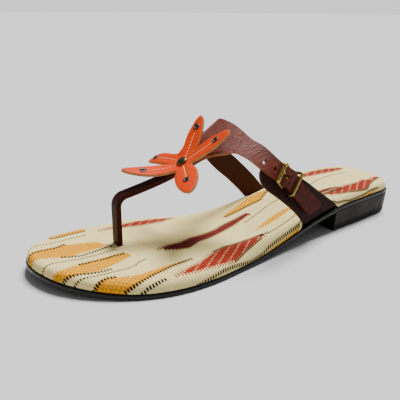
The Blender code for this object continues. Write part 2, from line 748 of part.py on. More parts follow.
def strap_frame(distance):
    """A frame on the foot's skin: x up the strap, y across it to the front, z out of the foot."""
    place = along_strap(distance)
    origin = foot_skin(*place)
    out = foot_normal(*place)
    ahead = foot_skin(*along_strap(distance + 0.002)) - foot_skin(*along_strap(distance - 0.002))
    ahead = (ahead - out * ahead.dot(out)).normalized()
    side = out.cross(ahead)
    if side.x > 0:
        side = -side
    frame = Matrix((ahead, side, out)).transposed().to_4x4()
    frame.translation = origin
    return frame


def local_height(frame, distance, height):
    """Where a place over the strap lies in a strap frame, as (x, z)."""
    point = frame.inverted() @ lasted(*along_strap(distance), height)
    return point.x, point.z


def place_under(frame, x, y):
    """The place in the pattern that lies under (x, y) of a strap frame."""
    to_frame = frame.inverted()
    place = HEEL_BAR_PLACE
    step = 0.0001
    for _ in range(8):
        here = to_frame @ foot_skin(*place)
        slopes = []
        for move in ((step, 0.0), (0.0, step)):
            there = to_frame @ foot_skin(*(place + move))
            slopes.append(((there.x - here.x) / step, (there.y - here.y) / step))
        place = place + np.linalg.solve(np.array(slopes).T, (x - here.x, y - here.y))
    return place


def keeper_rear_edge(frame):
    """Where the buckle strap's rear edge crosses the keeper's plane, as a distance from the strap's middle."""
    to_frame = frame.inverted()
    line = smooth_line(pattern_points(ANCHOR_REAR, "along", "girth"), 4)
    points = [to_frame @ lasted(*place, STRAP_THICKNESS / 2) for place in line]
    return -float(np.interp(0.0, [p.x for p in points], [p.y for p in points]))


def make_t_strap():
    holes = [round_hole(along_strap(step), STRAP_HOLE_RADIUS) for step in STRAP_HOLE_STEPS]
    holes.append(long_hole(along_strap(PRONG_SLOT_SETOFF), RUN, PRONG_SLOT_LENGTH, PRONG_SLOT_WIDTH))
    holes.append(round_hole(STAR_PLACE, STUD_SHANK_RADIUS + HOLE_CLEARANCE))
    return finish_mesh("t_strap", t_strap_leather(0.0, holes), "brown_leather")


def make_buckle_strap():
    prong_slot = long_hole(along_strap(ANCHOR_SLOT_SETOFF), RUN, ANCHOR_SLOT_LENGTH,
                           2 * (PRONG_RADIUS + HOLE_CLEARANCE))
    keeper_place = place_under(strap_frame(-KEEPER_SETBACK), 0.0, KEEPER_FRONT)
    keeper_hole = round_hole(keeper_place, KEEPER_HOLE_RADIUS)
    return finish_mesh("buckle_strap", anchor_leather(0.0, [prong_slot, keeper_hole]), "brown_leather")


def cut_footbed(footbed):
    """Slots in the footbed for the thong and for the two strap ends that are lasted under it."""
    for name, bm in (("cutter_t_strap", t_strap_leather(HOLE_CLEARANCE, ())),
                     ("cutter_buckle_strap", anchor_leather(HOLE_CLEARANCE, ()))):
        cutter = finish_mesh(name, bm, "brown_leather", smooth=False)
        cutter.hide_render = True
        cutter.display_type = "WIRE"
        cut = footbed.modifiers.new(name, "BOOLEAN")
        cut.operation = "DIFFERENCE"
        cut.solver = "EXACT"
        cut.object = cutter


KEEPER_FRONT = STRAP_END_WIDTH / 2 + HOLE_CLEARANCE + KEEPER_RADIUS
STAR_PLACE = np.array((STAR_ALONG_SHARE * SOLE_LENGTH, STAR_GIRTH_SHARE * FOOT_GIRTH))


def wire(name, points, radii, frame, colour, closed):
    """A round bar along a path, as a curve with a bevel."""
    curve = bpy.data.curves.new(name, "CURVE")
    curve.dimensions = "3D"
    curve.bevel_depth = 1.0
    curve.bevel_resolution = 2
    curve.use_fill_caps = not closed
    spline = curve.splines.new("POLY")
    spline.points.add(len(points) - 1)
    for spot, point, radius in zip(spline.points, points, radii):
        spot.co = (*(frame @ Vector(point)), 1.0)
        spot.radius = radius
    spline.use_cyclic_u = closed
    thing = bpy.data.objects.new(name, curve)
    bpy.context.collection.objects.link(thing)
    paint(thing, name, colour)
    return thing


def rounded_rectangle(low, high, half_width, corner, steps=3):
    """Points of a loop round a rectangle in x from low to high, its corners rounded."""
    points = []
    centres = ((high, -half_width), (high, half_width), (low, half_width), (low, -half_width))
    for quarter, (x, y) in enumerate(centres):
        middle_x = x + (corner if x == low else -corner)
        middle_y = y + (corner if y < 0 else -corner)
        for step in range(steps + 1):
            angle = math.pi / 2 * (quarter - 1 + step / steps)
            points.append((middle_x + corner * math.cos(angle), middle_y + corner * math.sin(angle)))
    return points


def buckle_reach():
    """Where the front bar's middle lies in the buckle's frame, as (x, z): just over the strap."""
    over_strap = band_lift(*along_strap(BUCKLE_LENGTH)) + STRAP_THICKNESS + GLUE_GAP + FRONT_BAR_RADIUS
    return local_height(strap_frame(0.0), BUCKLE_LENGTH, over_strap)


def make_buckle_frame():
    """One closed loop: a thin heel bar under the strap, two side arms and a thick front bar over it."""
    reach, rise = buckle_reach()
    path = []
    radii = []
    for x, y in rounded_rectangle(0.0, reach, BUCKLE_WIDTH / 2, BUCKLE_CORNER):
        share = x / reach
        path.append((x, y, HEEL_BAR_RISE + (rise - HEEL_BAR_RISE) * share))
        thin = HEEL_BAR_RADIUS + (SIDE_ARM_RADIUS - HEEL_BAR_RADIUS) * smooth_step(share * 5)
        radii.append(thin + (FRONT_BAR_RADIUS - SIDE_ARM_RADIUS) * smooth_step((share - 0.80) * 6))
    return wire("buckle_frame", path, radii, strap_frame(0.0), "aged_brass", closed=True)


def make_prong():
    """A wire ring round the heel bar, open at its front, that runs on up through the strap to the front bar."""
    reach, rise = buckle_reach()
    path = []
    for step in range(13):
        angle = math.radians(PRONG_RING_START + (PRONG_RING_END - PRONG_RING_START) * step / 12)
        path.append((PRONG_RING_RADIUS * math.cos(angle), 0.0, HEEL_BAR_RISE + PRONG_RING_RADIUS * math.sin(angle)))
    start = path[-1]
    rest = FRONT_BAR_RADIUS + GLUE_GAP + PRONG_RADIUS
    run, climb = reach - start[0], rise - start[2]
    slope = math.atan2(climb, run) + math.asin(rest / math.hypot(run, climb))
    touch = (reach - rest * math.sin(slope), 0.0, rise + rest * math.cos(slope))
    for share in (0.3, 0.6, 0.85):
        path.append(tuple(s + (t - s) * share for s, t in zip(start, touch)))
    for step in range(PRONG_TIP_STEPS + 1):
        angle = math.pi / 2 + slope + (math.radians(PRONG_TIP_END) - math.pi / 2 - slope) * step / PRONG_TIP_STEPS
        path.append((reach + rest * math.cos(angle), 0.0, rise + rest * math.sin(angle)))
    return wire("buckle_prong", path, [PRONG_RADIUS] * len(path), strap_frame(0.0), "aged_brass", closed=False)


def make_keeper():
    """A wire loop round the strap's end and the buckle strap, its front leg through a hole in the buckle strap."""
    frame = strap_frame(-KEEPER_SETBACK)
    top = band_lift(*along_strap(-KEEPER_SETBACK)) + STRAP_THICKNESS + GLUE_GAP + KEEPER_RADIUS
    bottom = -(GLUE_GAP + KEEPER_RADIUS + STRAP_BOW)
    rear = keeper_rear_edge(frame) + HOLE_CLEARANCE + KEEPER_RADIUS
    half = (rear + KEEPER_FRONT) / 2
    middle = (KEEPER_FRONT - rear) / 2
    path = [(0.0, middle + y, z) for z, y in rounded_rectangle(bottom, top, half, KEEPER_CORNER)]
    return wire("keeper_loop", path, [KEEPER_RADIUS] * len(path), frame, "aged_brass", closed=True)


STAR_BASE = STRAP_THICKNESS + GLUE_GAP + STAR_STANDOFF


def star_frame():
    """Middle of the star on the foot's skin: x up the foot, y to the inner side, z out."""
    out = foot_normal(*STAR_PLACE)
    up_the_foot = foot_skin(STAR_PLACE[0] - 0.001, STAR_PLACE[1]) - foot_skin(STAR_PLACE[0] + 0.001, STAR_PLACE[1])
    up_the_foot = (up_the_foot - out * up_the_foot.dot(out)).normalized()
    frame = Matrix((up_the_foot, out.cross(up_the_foot), out)).transposed().to_4x4()
    frame.translation = foot_skin(*STAR_PLACE)
    return frame


def arm_place(arm, station, across=0.0):
    """A point of the flat star by its station along an arm and its distance to the arm's left."""
    angle = math.radians(arm.angle)
    radius = station * arm.length
    return (radius * math.cos(angle) - across * math.sin(angle), radius * math.sin(angle) + across * math.cos(angle))


def star_outline():
    points = []
    for i, arm in enumerate(ARMS):
        following = ARMS[(i + 1) % len(ARMS)]
        right = [arm_place(arm, row.station, -row.width * arm.half_width) for row in ARM_PROFILE]
        left = [arm_place(arm, row.station, row.width * arm.half_width) for row in ARM_PROFILE[::-1]]
        notch_angle = math.radians(arm.angle + (following.angle - arm.angle) % 360 / 2)
        notch = (arm.web * math.cos(notch_angle), arm.web * math.sin(notch_angle))
        points += right + [arm_place(arm, 1.0)] + left + [notch]
    return smooth_line(points, 2, closed=True)


def star_rise(x, y):
    """How far the bent star stands over its own flat plane: level under the stud, then along each arm."""
    radius = math.hypot(x, y)
    reach = radius - STAR_LEVEL_RADIUS
    if reach <= 0:
        return 0.0
    angle = math.atan2(y, x)
    total = 0.0
    rise = 0.0
    for arm in ARMS:
        near = max(0.0, math.cos(angle - math.radians(arm.angle))) ** 10
        total += near
        rise += near * arm.lift * (reach / (arm.length - STAR_LEVEL_RADIUS)) ** arm.curl
    return rise / max(total, 1e-9)


def star_point(x, y, height):
    """A place on the bent star in the star's frame, at a height over its lower face."""
    step = 0.0002
    slope_x = (star_rise(x + step, y) - star_rise(x - step, y)) / (2 * step)
    slope_y = (star_rise(x, y + step) - star_rise(x, y - step)) / (2 * step)
    out = Vector((-slope_x, -slope_y, 1.0)).normalized()
    return Vector((x, y, STAR_BASE + star_rise(x, y))) + out * height, out


def make_starfish():
    holes = [round_hole((0.0, 0.0), STUD_SHANK_RADIUS + HOLE_CLEARANCE)]
    for arm in ARMS:
        holes.append(round_hole(arm_place(arm, arm.eyelet), EYELET_BARREL_RADIUS + HOLE_CLEARANCE))
    reach = max(arm.length for arm in ARMS)
    cuts = regular_cuts(-reach, reach, STAR_CUT)
    bm = cut_leather(star_outline(), STAR_THICKNESS, 0.0, cuts, cuts, holes)
    frame = star_frame()
    for vertex in bm.verts:
        x, y, height = vertex.co
        vertex.co = frame @ star_point(x, y, height)[0]
    return finish_mesh("starfish", bm, "orange_leather")


def turned(name, profile, frame, colour, sides, closed_profile):
    """A body turned round its own z axis from a profile of (radius, height)."""
    bm = bmesh.new()
    verts = [bm.verts.new((radius, 0.0, height)) for radius, height in profile]
    pairs = list(zip(verts, verts[1:]))
    if closed_profile:
        pairs.append((verts[-1], verts[0]))
    edges = [bm.edges.new(pair) for pair in pairs]
    bmesh.ops.spin(bm, geom=verts + edges, axis=(0, 0, 1), cent=(0, 0, 0), angle=2 * math.pi, steps=sides,
                   use_merge=True)
    bmesh.ops.remove_doubles(bm, verts=bm.verts[:], dist=1e-6)
    bmesh.ops.transform(bm, matrix=frame, verts=bm.verts[:])
    return finish_mesh(name, bm, colour)


def make_eyelet(arm):
    """A black eyelet: a flange on the arm's face and a barrel through its hole."""
    x, y = arm_place(arm, arm.eyelet)
    centre, out = star_point(x, y, STAR_THICKNESS)
    side = Vector((0, 1, 0)).cross(out).normalized()
    seat = Matrix((side, out.cross(side), out)).transposed().to_4x4()
    seat.translation = centre
    low = GLUE_GAP
    high = GLUE_GAP + EYELET_FLANGE_THICKNESS
    profile = [(EYELET_BORE_RADIUS, -STAR_THICKNESS), (EYELET_BARREL_RADIUS, -STAR_THICKNESS),
               (EYELET_BARREL_RADIUS, low), (EYELET_FLANGE_RADIUS, low), (EYELET_FLANGE_RADIUS - 0.0002, high),
               (EYELET_BORE_RADIUS + 0.0001, high), (EYELET_BORE_RADIUS, low)]
    return turned("arm_eyelet_" + arm.name, profile, star_frame() @ seat, "black_eyelet", 14, True)


def make_stud():
    """A domed stud on the star's middle, its shank through star and strap."""
    frame = star_frame()
    low = STAR_BASE + STAR_THICKNESS + GLUE_GAP
    profile = [(0.0, low + STUD_HEIGHT)]
    for step in range(1, 5):
        angle = math.pi / 2 * step / 4
        profile.append((STUD_RADIUS * math.sin(angle), low + 0.0003 + (STUD_HEIGHT - 0.0003) * math.cos(angle)))
    profile += [(STUD_RADIUS, low), (STUD_SHANK_RADIUS, low), (STUD_SHANK_RADIUS, 0.0), (0.0, 0.0)]
    return turned("center_stud", profile, frame, "pewter", 16, False)


def main():
    for thing in list(bpy.data.objects):
        bpy.data.objects.remove(thing)
    make_outsole()
    footbed = make_footbed()
    make_heel_block()
    make_heel_lift()
    cut_footbed(footbed)
    make_t_strap()
    make_buckle_strap()
    make_buckle_frame()
    make_prong()
    make_keeper()
    make_starfish()
    for arm in ARMS:
        make_eyelet(arm)
    make_stud()


main()
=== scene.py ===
# %% [markdown]
# # A T-strap thong sandal with a leather starfish
#
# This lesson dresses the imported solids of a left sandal. It stands empty on its low heel. The toe points
# to -X, the outer side, with the buckle, is at -Y, and the floor is z = 0. Lengths are in metres.
#
# A sandal is made from flat things. The straps are cut from a flat hide and pulled over a last, the
# shoemaker's block, and the footbed's cover is a flat cloth pulled over a board. So the lesson works in the
# same order: it cuts each piece flat, with rounded edges, and then bends it over a last made of formulas.

import math
from collections import namedtuple
from functools import lru_cache

import bmesh
import bpy
import numpy as np
from mathutils import Matrix, Vector

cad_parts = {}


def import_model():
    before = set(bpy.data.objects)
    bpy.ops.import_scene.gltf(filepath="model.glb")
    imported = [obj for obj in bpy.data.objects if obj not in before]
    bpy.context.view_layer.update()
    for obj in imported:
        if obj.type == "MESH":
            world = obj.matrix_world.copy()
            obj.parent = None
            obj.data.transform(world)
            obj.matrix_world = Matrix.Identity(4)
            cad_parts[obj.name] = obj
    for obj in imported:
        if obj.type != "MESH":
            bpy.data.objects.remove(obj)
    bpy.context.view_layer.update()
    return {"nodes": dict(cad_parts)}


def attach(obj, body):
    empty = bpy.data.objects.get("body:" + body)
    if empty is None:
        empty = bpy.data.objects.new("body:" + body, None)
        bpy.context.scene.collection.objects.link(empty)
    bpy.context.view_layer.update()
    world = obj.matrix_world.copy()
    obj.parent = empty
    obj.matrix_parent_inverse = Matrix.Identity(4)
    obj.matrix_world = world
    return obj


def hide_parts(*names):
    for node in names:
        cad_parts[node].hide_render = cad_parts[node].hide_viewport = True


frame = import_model()
print("packed nodes:", ", ".join(sorted(frame["nodes"])))


# %% [markdown]
# ## Named tables
#
# Shapes come from short tables whose columns have names, so that a reader can see what each number is.
# Lengths along the shoe are shares of the sole's length, widths are shares of the ball's width.

# %% Sizes and tables
def table(columns, *rows):
    """A table whose rows have named columns."""
    row_type = namedtuple("Row", columns)
    return tuple(row_type(*row) for row in rows)


def column(rows, name):
    return [getattr(row, name) for row in rows]


SOLE_LENGTH = 0.2460
BALL_WIDTH = 0.0904
HEEL_HEIGHT = 0.0142
TOE_SPRING = 0.0049
TOE_SPRING_POWER = 1.8
OUTSOLE_THICKNESS = 0.0026
FOOTBED_THICKNESS = 0.0055
FOOTBED_EDGE_RADIUS = 0.0040
FOOTBED_CROWN = 0.0004
LEDGE = 0.0009
SEAT_SHARE = 0.188
TREAD_START_SHARE = 0.602
TREAD_END_SHARE = 0.818
GLUE_GAP = 0.0003
HOLE_CLEARANCE = 0.0003

PLAN = table(
    "along outer inner",
    (0.0041, -0.1416, 0.1427),
    (0.0280, -0.2500, 0.2500),
    (0.1146, -0.2942, 0.3131),
    (0.2488, -0.3296, 0.2876),
    (0.3707, -0.3573, 0.2588),
    (0.4927, -0.4071, 0.2854),
    (0.5943, -0.4546, 0.3606),
    (0.6837, -0.4900, 0.4591),
    (0.7675, -0.4812, 0.5044),
    (0.8504, -0.4060, 0.4989),
    (0.9317, -0.2445, 0.4358),
    (0.9805, -0.0619, 0.3208),
)
TOE_TIP_ACROSS = 0.1549
print("sole", SOLE_LENGTH * 1000, "mm long,", BALL_WIDTH * 1000, "mm wide at the ball")


# %% [markdown]
# ## Smooth lines
#
# A few points and one smoothing function give every outline: the sole's plan, the straps and the star.
# A Catmull-Rom curve is used because it passes through its points, so the tables hold real places.

# %% Curve helpers
def smooth_step(t):
    """0 before 0, 1 after 1, level at both ends."""
    t = min(max(t, 0.0), 1.0)
    return t * t * (3.0 - 2.0 * t)


def curve_value(stations, values, at):
    """A smooth curve through (stations, values), level beyond its ends."""
    if at <= stations[0]:
        return values[0]
    if at >= stations[-1]:
        return values[-1]
    slopes = np.gradient(values, stations)
    i = int(np.searchsorted(stations, at)) - 1
    step = stations[i + 1] - stations[i]
    t = (at - stations[i]) / step
    start = (2 * t**3 - 3 * t**2 + 1) * values[i] + (t**3 - 2 * t**2 + t) * step * slopes[i]
    end = (3 * t**2 - 2 * t**3) * values[i + 1] + (t**3 - t**2) * step * slopes[i + 1]
    return float(start + end)


def smooth_line(points, steps, closed=False):
    """Points on a centripetal Catmull-Rom curve, steps to a span."""
    points = [np.array(p, float) for p in points]
    count = len(points)
    if not closed:
        points = [2 * points[0] - points[1]] + points + [2 * points[-1] - points[-2]]
    line = []
    for i in range(count if closed else count - 1):
        if closed:
            a, b, c, d = (points[(i + k - 1) % count] for k in range(4))
        else:
            a, b, c, d = points[i : i + 4]
        knots = [0.0]
        for p, q in ((a, b), (b, c), (c, d)):
            knots.append(knots[-1] + math.sqrt(np.linalg.norm(q - p)))
        k0, k1, k2, k3 = knots
        for step in range(steps):
            k = k1 + (k2 - k1) * step / steps
            ab = (k1 - k) / (k1 - k0) * a + (k - k0) / (k1 - k0) * b
            bc = (k2 - k) / (k2 - k1) * b + (k - k1) / (k2 - k1) * c
            cd = (k3 - k) / (k3 - k2) * c + (k - k2) / (k3 - k2) * d
            abc = (k2 - k) / (k2 - k0) * ab + (k - k0) / (k2 - k0) * bc
            bcd = (k3 - k) / (k3 - k1) * bc + (k - k1) / (k3 - k1) * cd
            line.append((k2 - k) / (k2 - k1) * abc + (k - k1) / (k2 - k1) * bcd)
    if not closed:
        line.append(points[-2])
    return line


def offset_loop(loop, distance):
    """A closed loop moved sideways, outwards for a positive distance on a counter-clockwise loop."""
    moved = []
    for i, point in enumerate(loop):
        run = loop[(i + 1) % len(loop)] - loop[i - 1]
        moved.append(point + np.array((run[1], -run[0])) / np.linalg.norm(run) * distance)
    return moved


def even_loop(loop, step):
    """The same closed loop with points a step apart."""
    loop = np.array(list(loop) + [loop[0]])
    run = np.concatenate(([0.0], np.cumsum(np.hypot(*np.diff(loop, axis=0).T))))
    count = round(run[-1] / step)
    at = np.arange(count) * run[-1] / count
    return [np.array((np.interp(a, run, loop[:, 0]), np.interp(a, run, loop[:, 1]))) for a in at]


print("halfway through a smooth step:", smooth_step(0.5))


# %% [markdown]
# ## The sole's line
#
# Seen from the side the sole is level under the heel, falls through the arch, lies on the floor under the
# ball and springs up at the toe. Every layer of the sole is this one line at another height.

# %% Plan and heights
PLAN_POINTS = (
    [(0.0, 0.0)]
    + [(row.along * SOLE_LENGTH, row.outer * BALL_WIDTH) for row in PLAN]
    + [(SOLE_LENGTH, TOE_TIP_ACROSS * BALL_WIDTH)]
    + [(row.along * SOLE_LENGTH, row.inner * BALL_WIDTH) for row in PLAN[::-1]]
)
PLAN_LOOP = smooth_line(PLAN_POINTS, 3, closed=True)
PLAN_HALF = len(PLAN_LOOP) // 2
MIDDLE_ALONG = (min(p[0] for p in PLAN_LOOP) + max(p[0] for p in PLAN_LOOP)) / 2
MIDDLE_ACROSS = (min(p[1] for p in PLAN_LOOP) + max(p[1] for p in PLAN_LOOP)) / 2
OUTER_EDGE = sorted((p[0], p[1]) for p in PLAN_LOOP[: PLAN_HALF + 1])
INNER_EDGE = sorted((p[0], p[1]) for p in [PLAN_LOOP[0]] + PLAN_LOOP[PLAN_HALF:])


def world(along, across, up):
    """A place in the shoe's plan as a place in the world."""
    return Vector((MIDDLE_ALONG - along, across - MIDDLE_ACROSS, up))


def edge_across(edge, along):
    return float(np.interp(along, [p[0] for p in edge], [p[1] for p in edge]))


def underside(along):
    """Height of the outsole's underside: heel seat, arch, tread on the floor, toe spring."""
    seat = SEAT_SHARE * SOLE_LENGTH
    tread_start = TREAD_START_SHARE * SOLE_LENGTH
    tread_end = TREAD_END_SHARE * SOLE_LENGTH
    fall = smooth_step((along - seat) / (tread_start - seat))
    spring = max(0.0, (along - tread_end) / (SOLE_LENGTH - tread_end))
    return HEEL_HEIGHT * (1.0 - fall) + TOE_SPRING * spring**TOE_SPRING_POWER


def outsole_top(along):
    return underside(along) + OUTSOLE_THICKNESS


def footbed_base(along):
    return outsole_top(along) + GLUE_GAP


def footbed_top(along):
    return footbed_base(along) + FOOTBED_THICKNESS


print("the sole's line:", [round(underside(share * SOLE_LENGTH) * 1000, 1) for share in (0, 0.25, 0.5, 0.75, 1)], "mm")


# %% [markdown]
# ## Cutting leather flat
#
# Every strap starts as a flat outline on the bench. The outline is filled, ruled across into small faces
# so that it can bend, given its thickness, and its rims are rounded. A knife, an edge beveller and a
# mallet do the same. The flat place of each point is kept in an attribute named pattern, in millimetres,
# with the distance to the nearest cut edge as its third number. The materials draw grain, worn edges and
# woven figures by it, so they follow the piece however it bends.

# %% Edges, rims and holes
FLAT_TOLERANCE = 1e-7


def edge_distance(points, loops):
    """Distance of each flat point to the nearest of some closed loops."""
    nearest = np.full(len(points), 1e9)
    for loop in loops:
        loop = np.array(loop)
        for start, end in zip(loop, np.roll(loop, -1, axis=0)):
            run = end - start
            t = np.clip(((points - start) @ run) / max(run @ run, 1e-18), 0.0, 1.0)
            nearest = np.minimum(nearest, np.hypot(*(points - start - t[:, None] * run).T))
    return nearest


def regular_cuts(start, end, step):
    count = max(1, round((end - start) / step))
    return [start + (end - start) * i / count for i in range(count + 1)]


def add_loop(bm, loop, height):
    verts = [bm.verts.new((p[0], p[1], height)) for p in loop]
    return [bm.edges.new(pair) for pair in zip(verts, verts[1:] + verts[:1])]


def bevel_rims(bm, level, radius, segments):
    """Round the rims between the flat face at this level and the upright sides."""
    rims = []
    for edge in bm.edges:
        if len(edge.link_faces) == 2 and all(abs(v.co.z - level) < FLAT_TOLERANCE for v in edge.verts):
            if sum(abs(face.normal.z) > 0.99 for face in edge.link_faces) == 1:
                if sum(abs(face.normal.z) < 0.01 for face in edge.link_faces) == 1:
                    rims.append(edge)
    bmesh.ops.bevel(bm, geom=rims, offset=radius, offset_type="OFFSET", segments=segments, profile=0.5,
                    affect="EDGES", material=-1, clamp_overlap=True)


def punch(bm, holes, thickness):
    """Open holes through a slab that has one flat face above and one below."""
    for level in (0.0, thickness):
        flats = [f for f in bm.faces if all(abs(v.co.z - level) < FLAT_TOLERANCE for v in f.verts)]
        rim = [edge for face in flats for edge in face.edges]
        bmesh.ops.delete(bm, geom=flats, context="FACES_ONLY")
        for hole in holes:
            rim += add_loop(bm, hole, level)
        bmesh.ops.triangle_fill(bm, use_beauty=True, use_dissolve=False, edges=rim, normal=(0, 0, 1))
    for hole in holes:
        corners = {(round(p[0], 7), round(p[1], 7)) for p in hole}
        walls = [e for e in bm.edges if e.is_boundary
                 and all((round(v.co.x, 7), round(v.co.y, 7)) in corners for v in e.verts)]
        bmesh.ops.bridge_loops(bm, edges=walls)
    bmesh.ops.recalc_face_normals(bm, faces=bm.faces[:])


unit_square = [np.array(corner) for corner in ((0.0, 0.0), (1.0, 0.0), (1.0, 1.0), (0.0, 1.0))]
print("test: the middle of a square lies", edge_distance(np.array([(0.5, 0.5)]), [unit_square])[0], "from its edge")


# %% [markdown]
# ### From outline to slab to piece
#
# The order matters. Rims are bevelled while the slab is still one large face above and one below, which
# gives an even round edge. Then the holes are punched, and only then is the slab ruled across with
# straight cuts, the small faces along which it will bend.

# %% A flat cutter
def cut_flat(outline, thickness, top_radius, base_radius, along_cuts, across_cuts, holes=(), segments=3,
             hole_radius=0.0):
    """A flat piece on z = 0 with rounded rims. Its second material is the face that lies below."""
    bm = bmesh.new()
    bmesh.ops.edgeloop_fill(bm, edges=add_loop(bm, outline, 0.0))
    made = bmesh.ops.extrude_face_region(bm, geom=bm.faces[:])
    raised = [item for item in made["geom"] if isinstance(item, bmesh.types.BMVert)]
    bmesh.ops.translate(bm, verts=raised, vec=(0, 0, thickness))
    bmesh.ops.recalc_face_normals(bm, faces=bm.faces[:])
    for radius, level in ((top_radius, thickness), (base_radius, 0.0)):
        if radius:
            bevel_rims(bm, level, radius, segments)
    punch(bm, holes, thickness)
    if hole_radius:
        bevel_rims(bm, thickness, hole_radius, 2)
    for face in bm.faces:
        face.material_index = 1 if face.normal.z < -0.5 else 0
    for cuts, normal in ((along_cuts, (1, 0, 0)), (across_cuts, (0, 1, 0))):
        for cut in cuts:
            geometry = bm.verts[:] + bm.edges[:] + bm.faces[:]
            bmesh.ops.bisect_plane(bm, geom=geometry, dist=1e-5, plane_co=Vector(normal) * cut, plane_no=normal)
    slanted = []
    for edge in bm.edges:
        run = edge.verts[1].co - edge.verts[0].co
        level = all(abs(abs(face.normal.z) - 1) < 1e-6 for face in edge.link_faces)
        if level and abs(run.z) < 1e-8 and min(abs(run.x), abs(run.y)) > 1e-7:
            slanted.append(edge)
    bmesh.ops.dissolve_edges(bm, edges=slanted, use_verts=False, use_face_split=False)
    return bm


def finish_piece(name, bm, flat=None, loops=(), smooth_angle=50):
    """Make the named object. flat is each vertex's flat place, kept in the attribute named pattern."""
    bmesh.ops.recalc_face_normals(bm, faces=bm.faces[:])
    mesh = bpy.data.meshes.new(name)
    bm.to_mesh(mesh)
    bm.free()
    mesh.shade_smooth()
    mesh.set_sharp_from_angle(angle=math.radians(smooth_angle))
    if flat is not None:
        flat = np.array(flat)
        rim = edge_distance(flat[:, :2], loops) if loops else flat[:, 2]
        pattern = np.column_stack((flat[:, :2], rim)) * 1000
        mesh.attributes.new("pattern", "FLOAT_VECTOR", "POINT").data.foreach_set("vector", pattern.ravel())
    piece = bpy.data.objects.new(name, mesh)
    bpy.context.collection.objects.link(piece)
    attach(piece, "root")
    print(name, len(mesh.vertices), "points,", sum(len(p.vertices) - 2 for p in mesh.polygons), "triangles")
    return piece


print("a 10 mm strip ruled every 2 mm has", len(regular_cuts(0.0, 0.010, 0.002)), "cuts")


# %% [markdown]
# ## The last
#
# The last is made of formulas. Its top line is a table of heights. Its section is a soft ellipse from the
# top line to the sole's edge. A flat strap is measured along the shoe and round the last (the girth, outer
# side negative), so lasting it means: find that place on the last, and step out from it.

# %% The last's top line
STRAP_THICKNESS = 0.0020
POST_THICKNESS = 0.0030
INSTEP_RISE = 0.0600
LAST_GIRTH = 0.0900
LAST_FULLNESS = 2.4
BEND_RADIUS = 0.0045
TURN_RADIUS = 0.0008
LASTING_MARGIN = 0.0080
SECTION_STEPS = 200

CREST = table(
    "along rise across",
    (0.3707, 1.337, 0.033),
    (0.4317, 1.231, 0.044),
    (0.4927, 1.089, 0.055),
    (0.5293, 1.000, 0.061),
    (0.5659, 0.901, 0.066),
    (0.6024, 0.790, 0.072),
    (0.6350, 0.693, 0.077),
    (0.6756, 0.596, 0.094),
    (0.7163, 0.530, 0.111),
    (0.7569, 0.476, 0.124),
    (0.7793, 0.450, 0.131),
)


def crest_height(along):
    rise = curve_value(column(CREST, "along"), column(CREST, "rise"), along / SOLE_LENGTH)
    return footbed_top(along) + rise * INSTEP_RISE


def crest_across(along):
    return curve_value(column(CREST, "along"), column(CREST, "across"), along / SOLE_LENGTH) * BALL_WIDTH


print("the last is", round(crest_height(CREST[0].along * SOLE_LENGTH) * 1000, 1), "mm high at the instep")


# %% [markdown]
# ### The last's skin
#
# A place in the pattern is found by walking round the section for the length of the girth. Below the
# sole's edge the leather turns under the footbed, where it is glued. In front, past the last row of the
# table, the stem bends down through a quarter of a circle and becomes the post.

# %% The last's skin
STRAP_BASE_RISE = GLUE_GAP + STRAP_THICKNESS + TURN_RADIUS
BEND_ALONG = CREST[-1].along * SOLE_LENGTH
BEND_START_TILT = math.atan2(crest_height(BEND_ALONG - 0.001) - crest_height(BEND_ALONG), 0.001)
BEND_SWEEP = math.pi / 2 - BEND_START_TILT
BEND_PATH = BEND_SWEEP * BEND_RADIUS
POST_ALONG = BEND_ALONG + BEND_RADIUS * (1 - math.sin(BEND_START_TILT))
POST_PATH = crest_height(BEND_ALONG) - BEND_RADIUS * math.cos(BEND_START_TILT) - footbed_base(POST_ALONG)
POST_END = BEND_ALONG + BEND_PATH + POST_PATH
UNDER_FOOTBED = TURN_RADIUS * math.pi / 2 + LASTING_MARGIN


@lru_cache(maxsize=None)
def side_path(along, side):
    """One side of the last's section: path lengths, outward and upward places, base height and half width."""
    base = outsole_top(along) + STRAP_BASE_RISE
    height = crest_height(along) - base
    edge = edge_across(OUTER_EDGE if side < 0 else INNER_EDGE, along)
    half_width = abs(edge - crest_across(along)) - LEDGE - STRAP_THICKNESS
    angle = np.linspace(0.0, math.pi / 2, SECTION_STEPS + 1)
    outs = half_width * np.sin(angle) ** (2 / LAST_FULLNESS)
    ups = base + height * np.maximum(0.0, np.cos(angle)) ** (2 / LAST_FULLNESS)
    lengths = np.concatenate(([0.0], np.cumsum(np.hypot(np.diff(outs), np.diff(ups)))))
    return lengths, outs, ups, base, half_width


def last_skin(along, girth):
    """A point on the last. Below the sole's edge it turns under the footbed; beyond the bend it goes down."""
    side = -1 if girth < 0 else 1
    share = abs(girth) / LAST_GIRTH
    lengths, outs, ups, base, half_width = side_path(min(along, BEND_ALONG), side)
    if share <= 1:
        out = float(np.interp(share * lengths[-1], lengths, outs))
        up = float(np.interp(share * lengths[-1], lengths, ups))
    else:
        run = (share - 1) * LAST_GIRTH
        turn = min(run / TURN_RADIUS, math.pi / 2)
        under = max(0.0, run - TURN_RADIUS * math.pi / 2)
        out = half_width - TURN_RADIUS * (1 - math.cos(turn)) - under
        up = base - TURN_RADIUS * math.sin(turn)
    across = crest_across(min(along, BEND_ALONG)) + side * out
    if along <= BEND_ALONG:
        return world(along, across, up)
    path = along - BEND_ALONG
    drop = crest_height(BEND_ALONG) - up
    turn = BEND_START_TILT + min(path / BEND_RADIUS, BEND_SWEEP)
    down = max(0.0, path - BEND_PATH)
    centre_along = BEND_ALONG - BEND_RADIUS * math.sin(BEND_START_TILT)
    centre_up = crest_height(BEND_ALONG) - BEND_RADIUS * math.cos(BEND_START_TILT)
    reach = BEND_RADIUS - drop
    return world(centre_along + reach * math.sin(turn), across, centre_up + reach * math.cos(turn) - down)


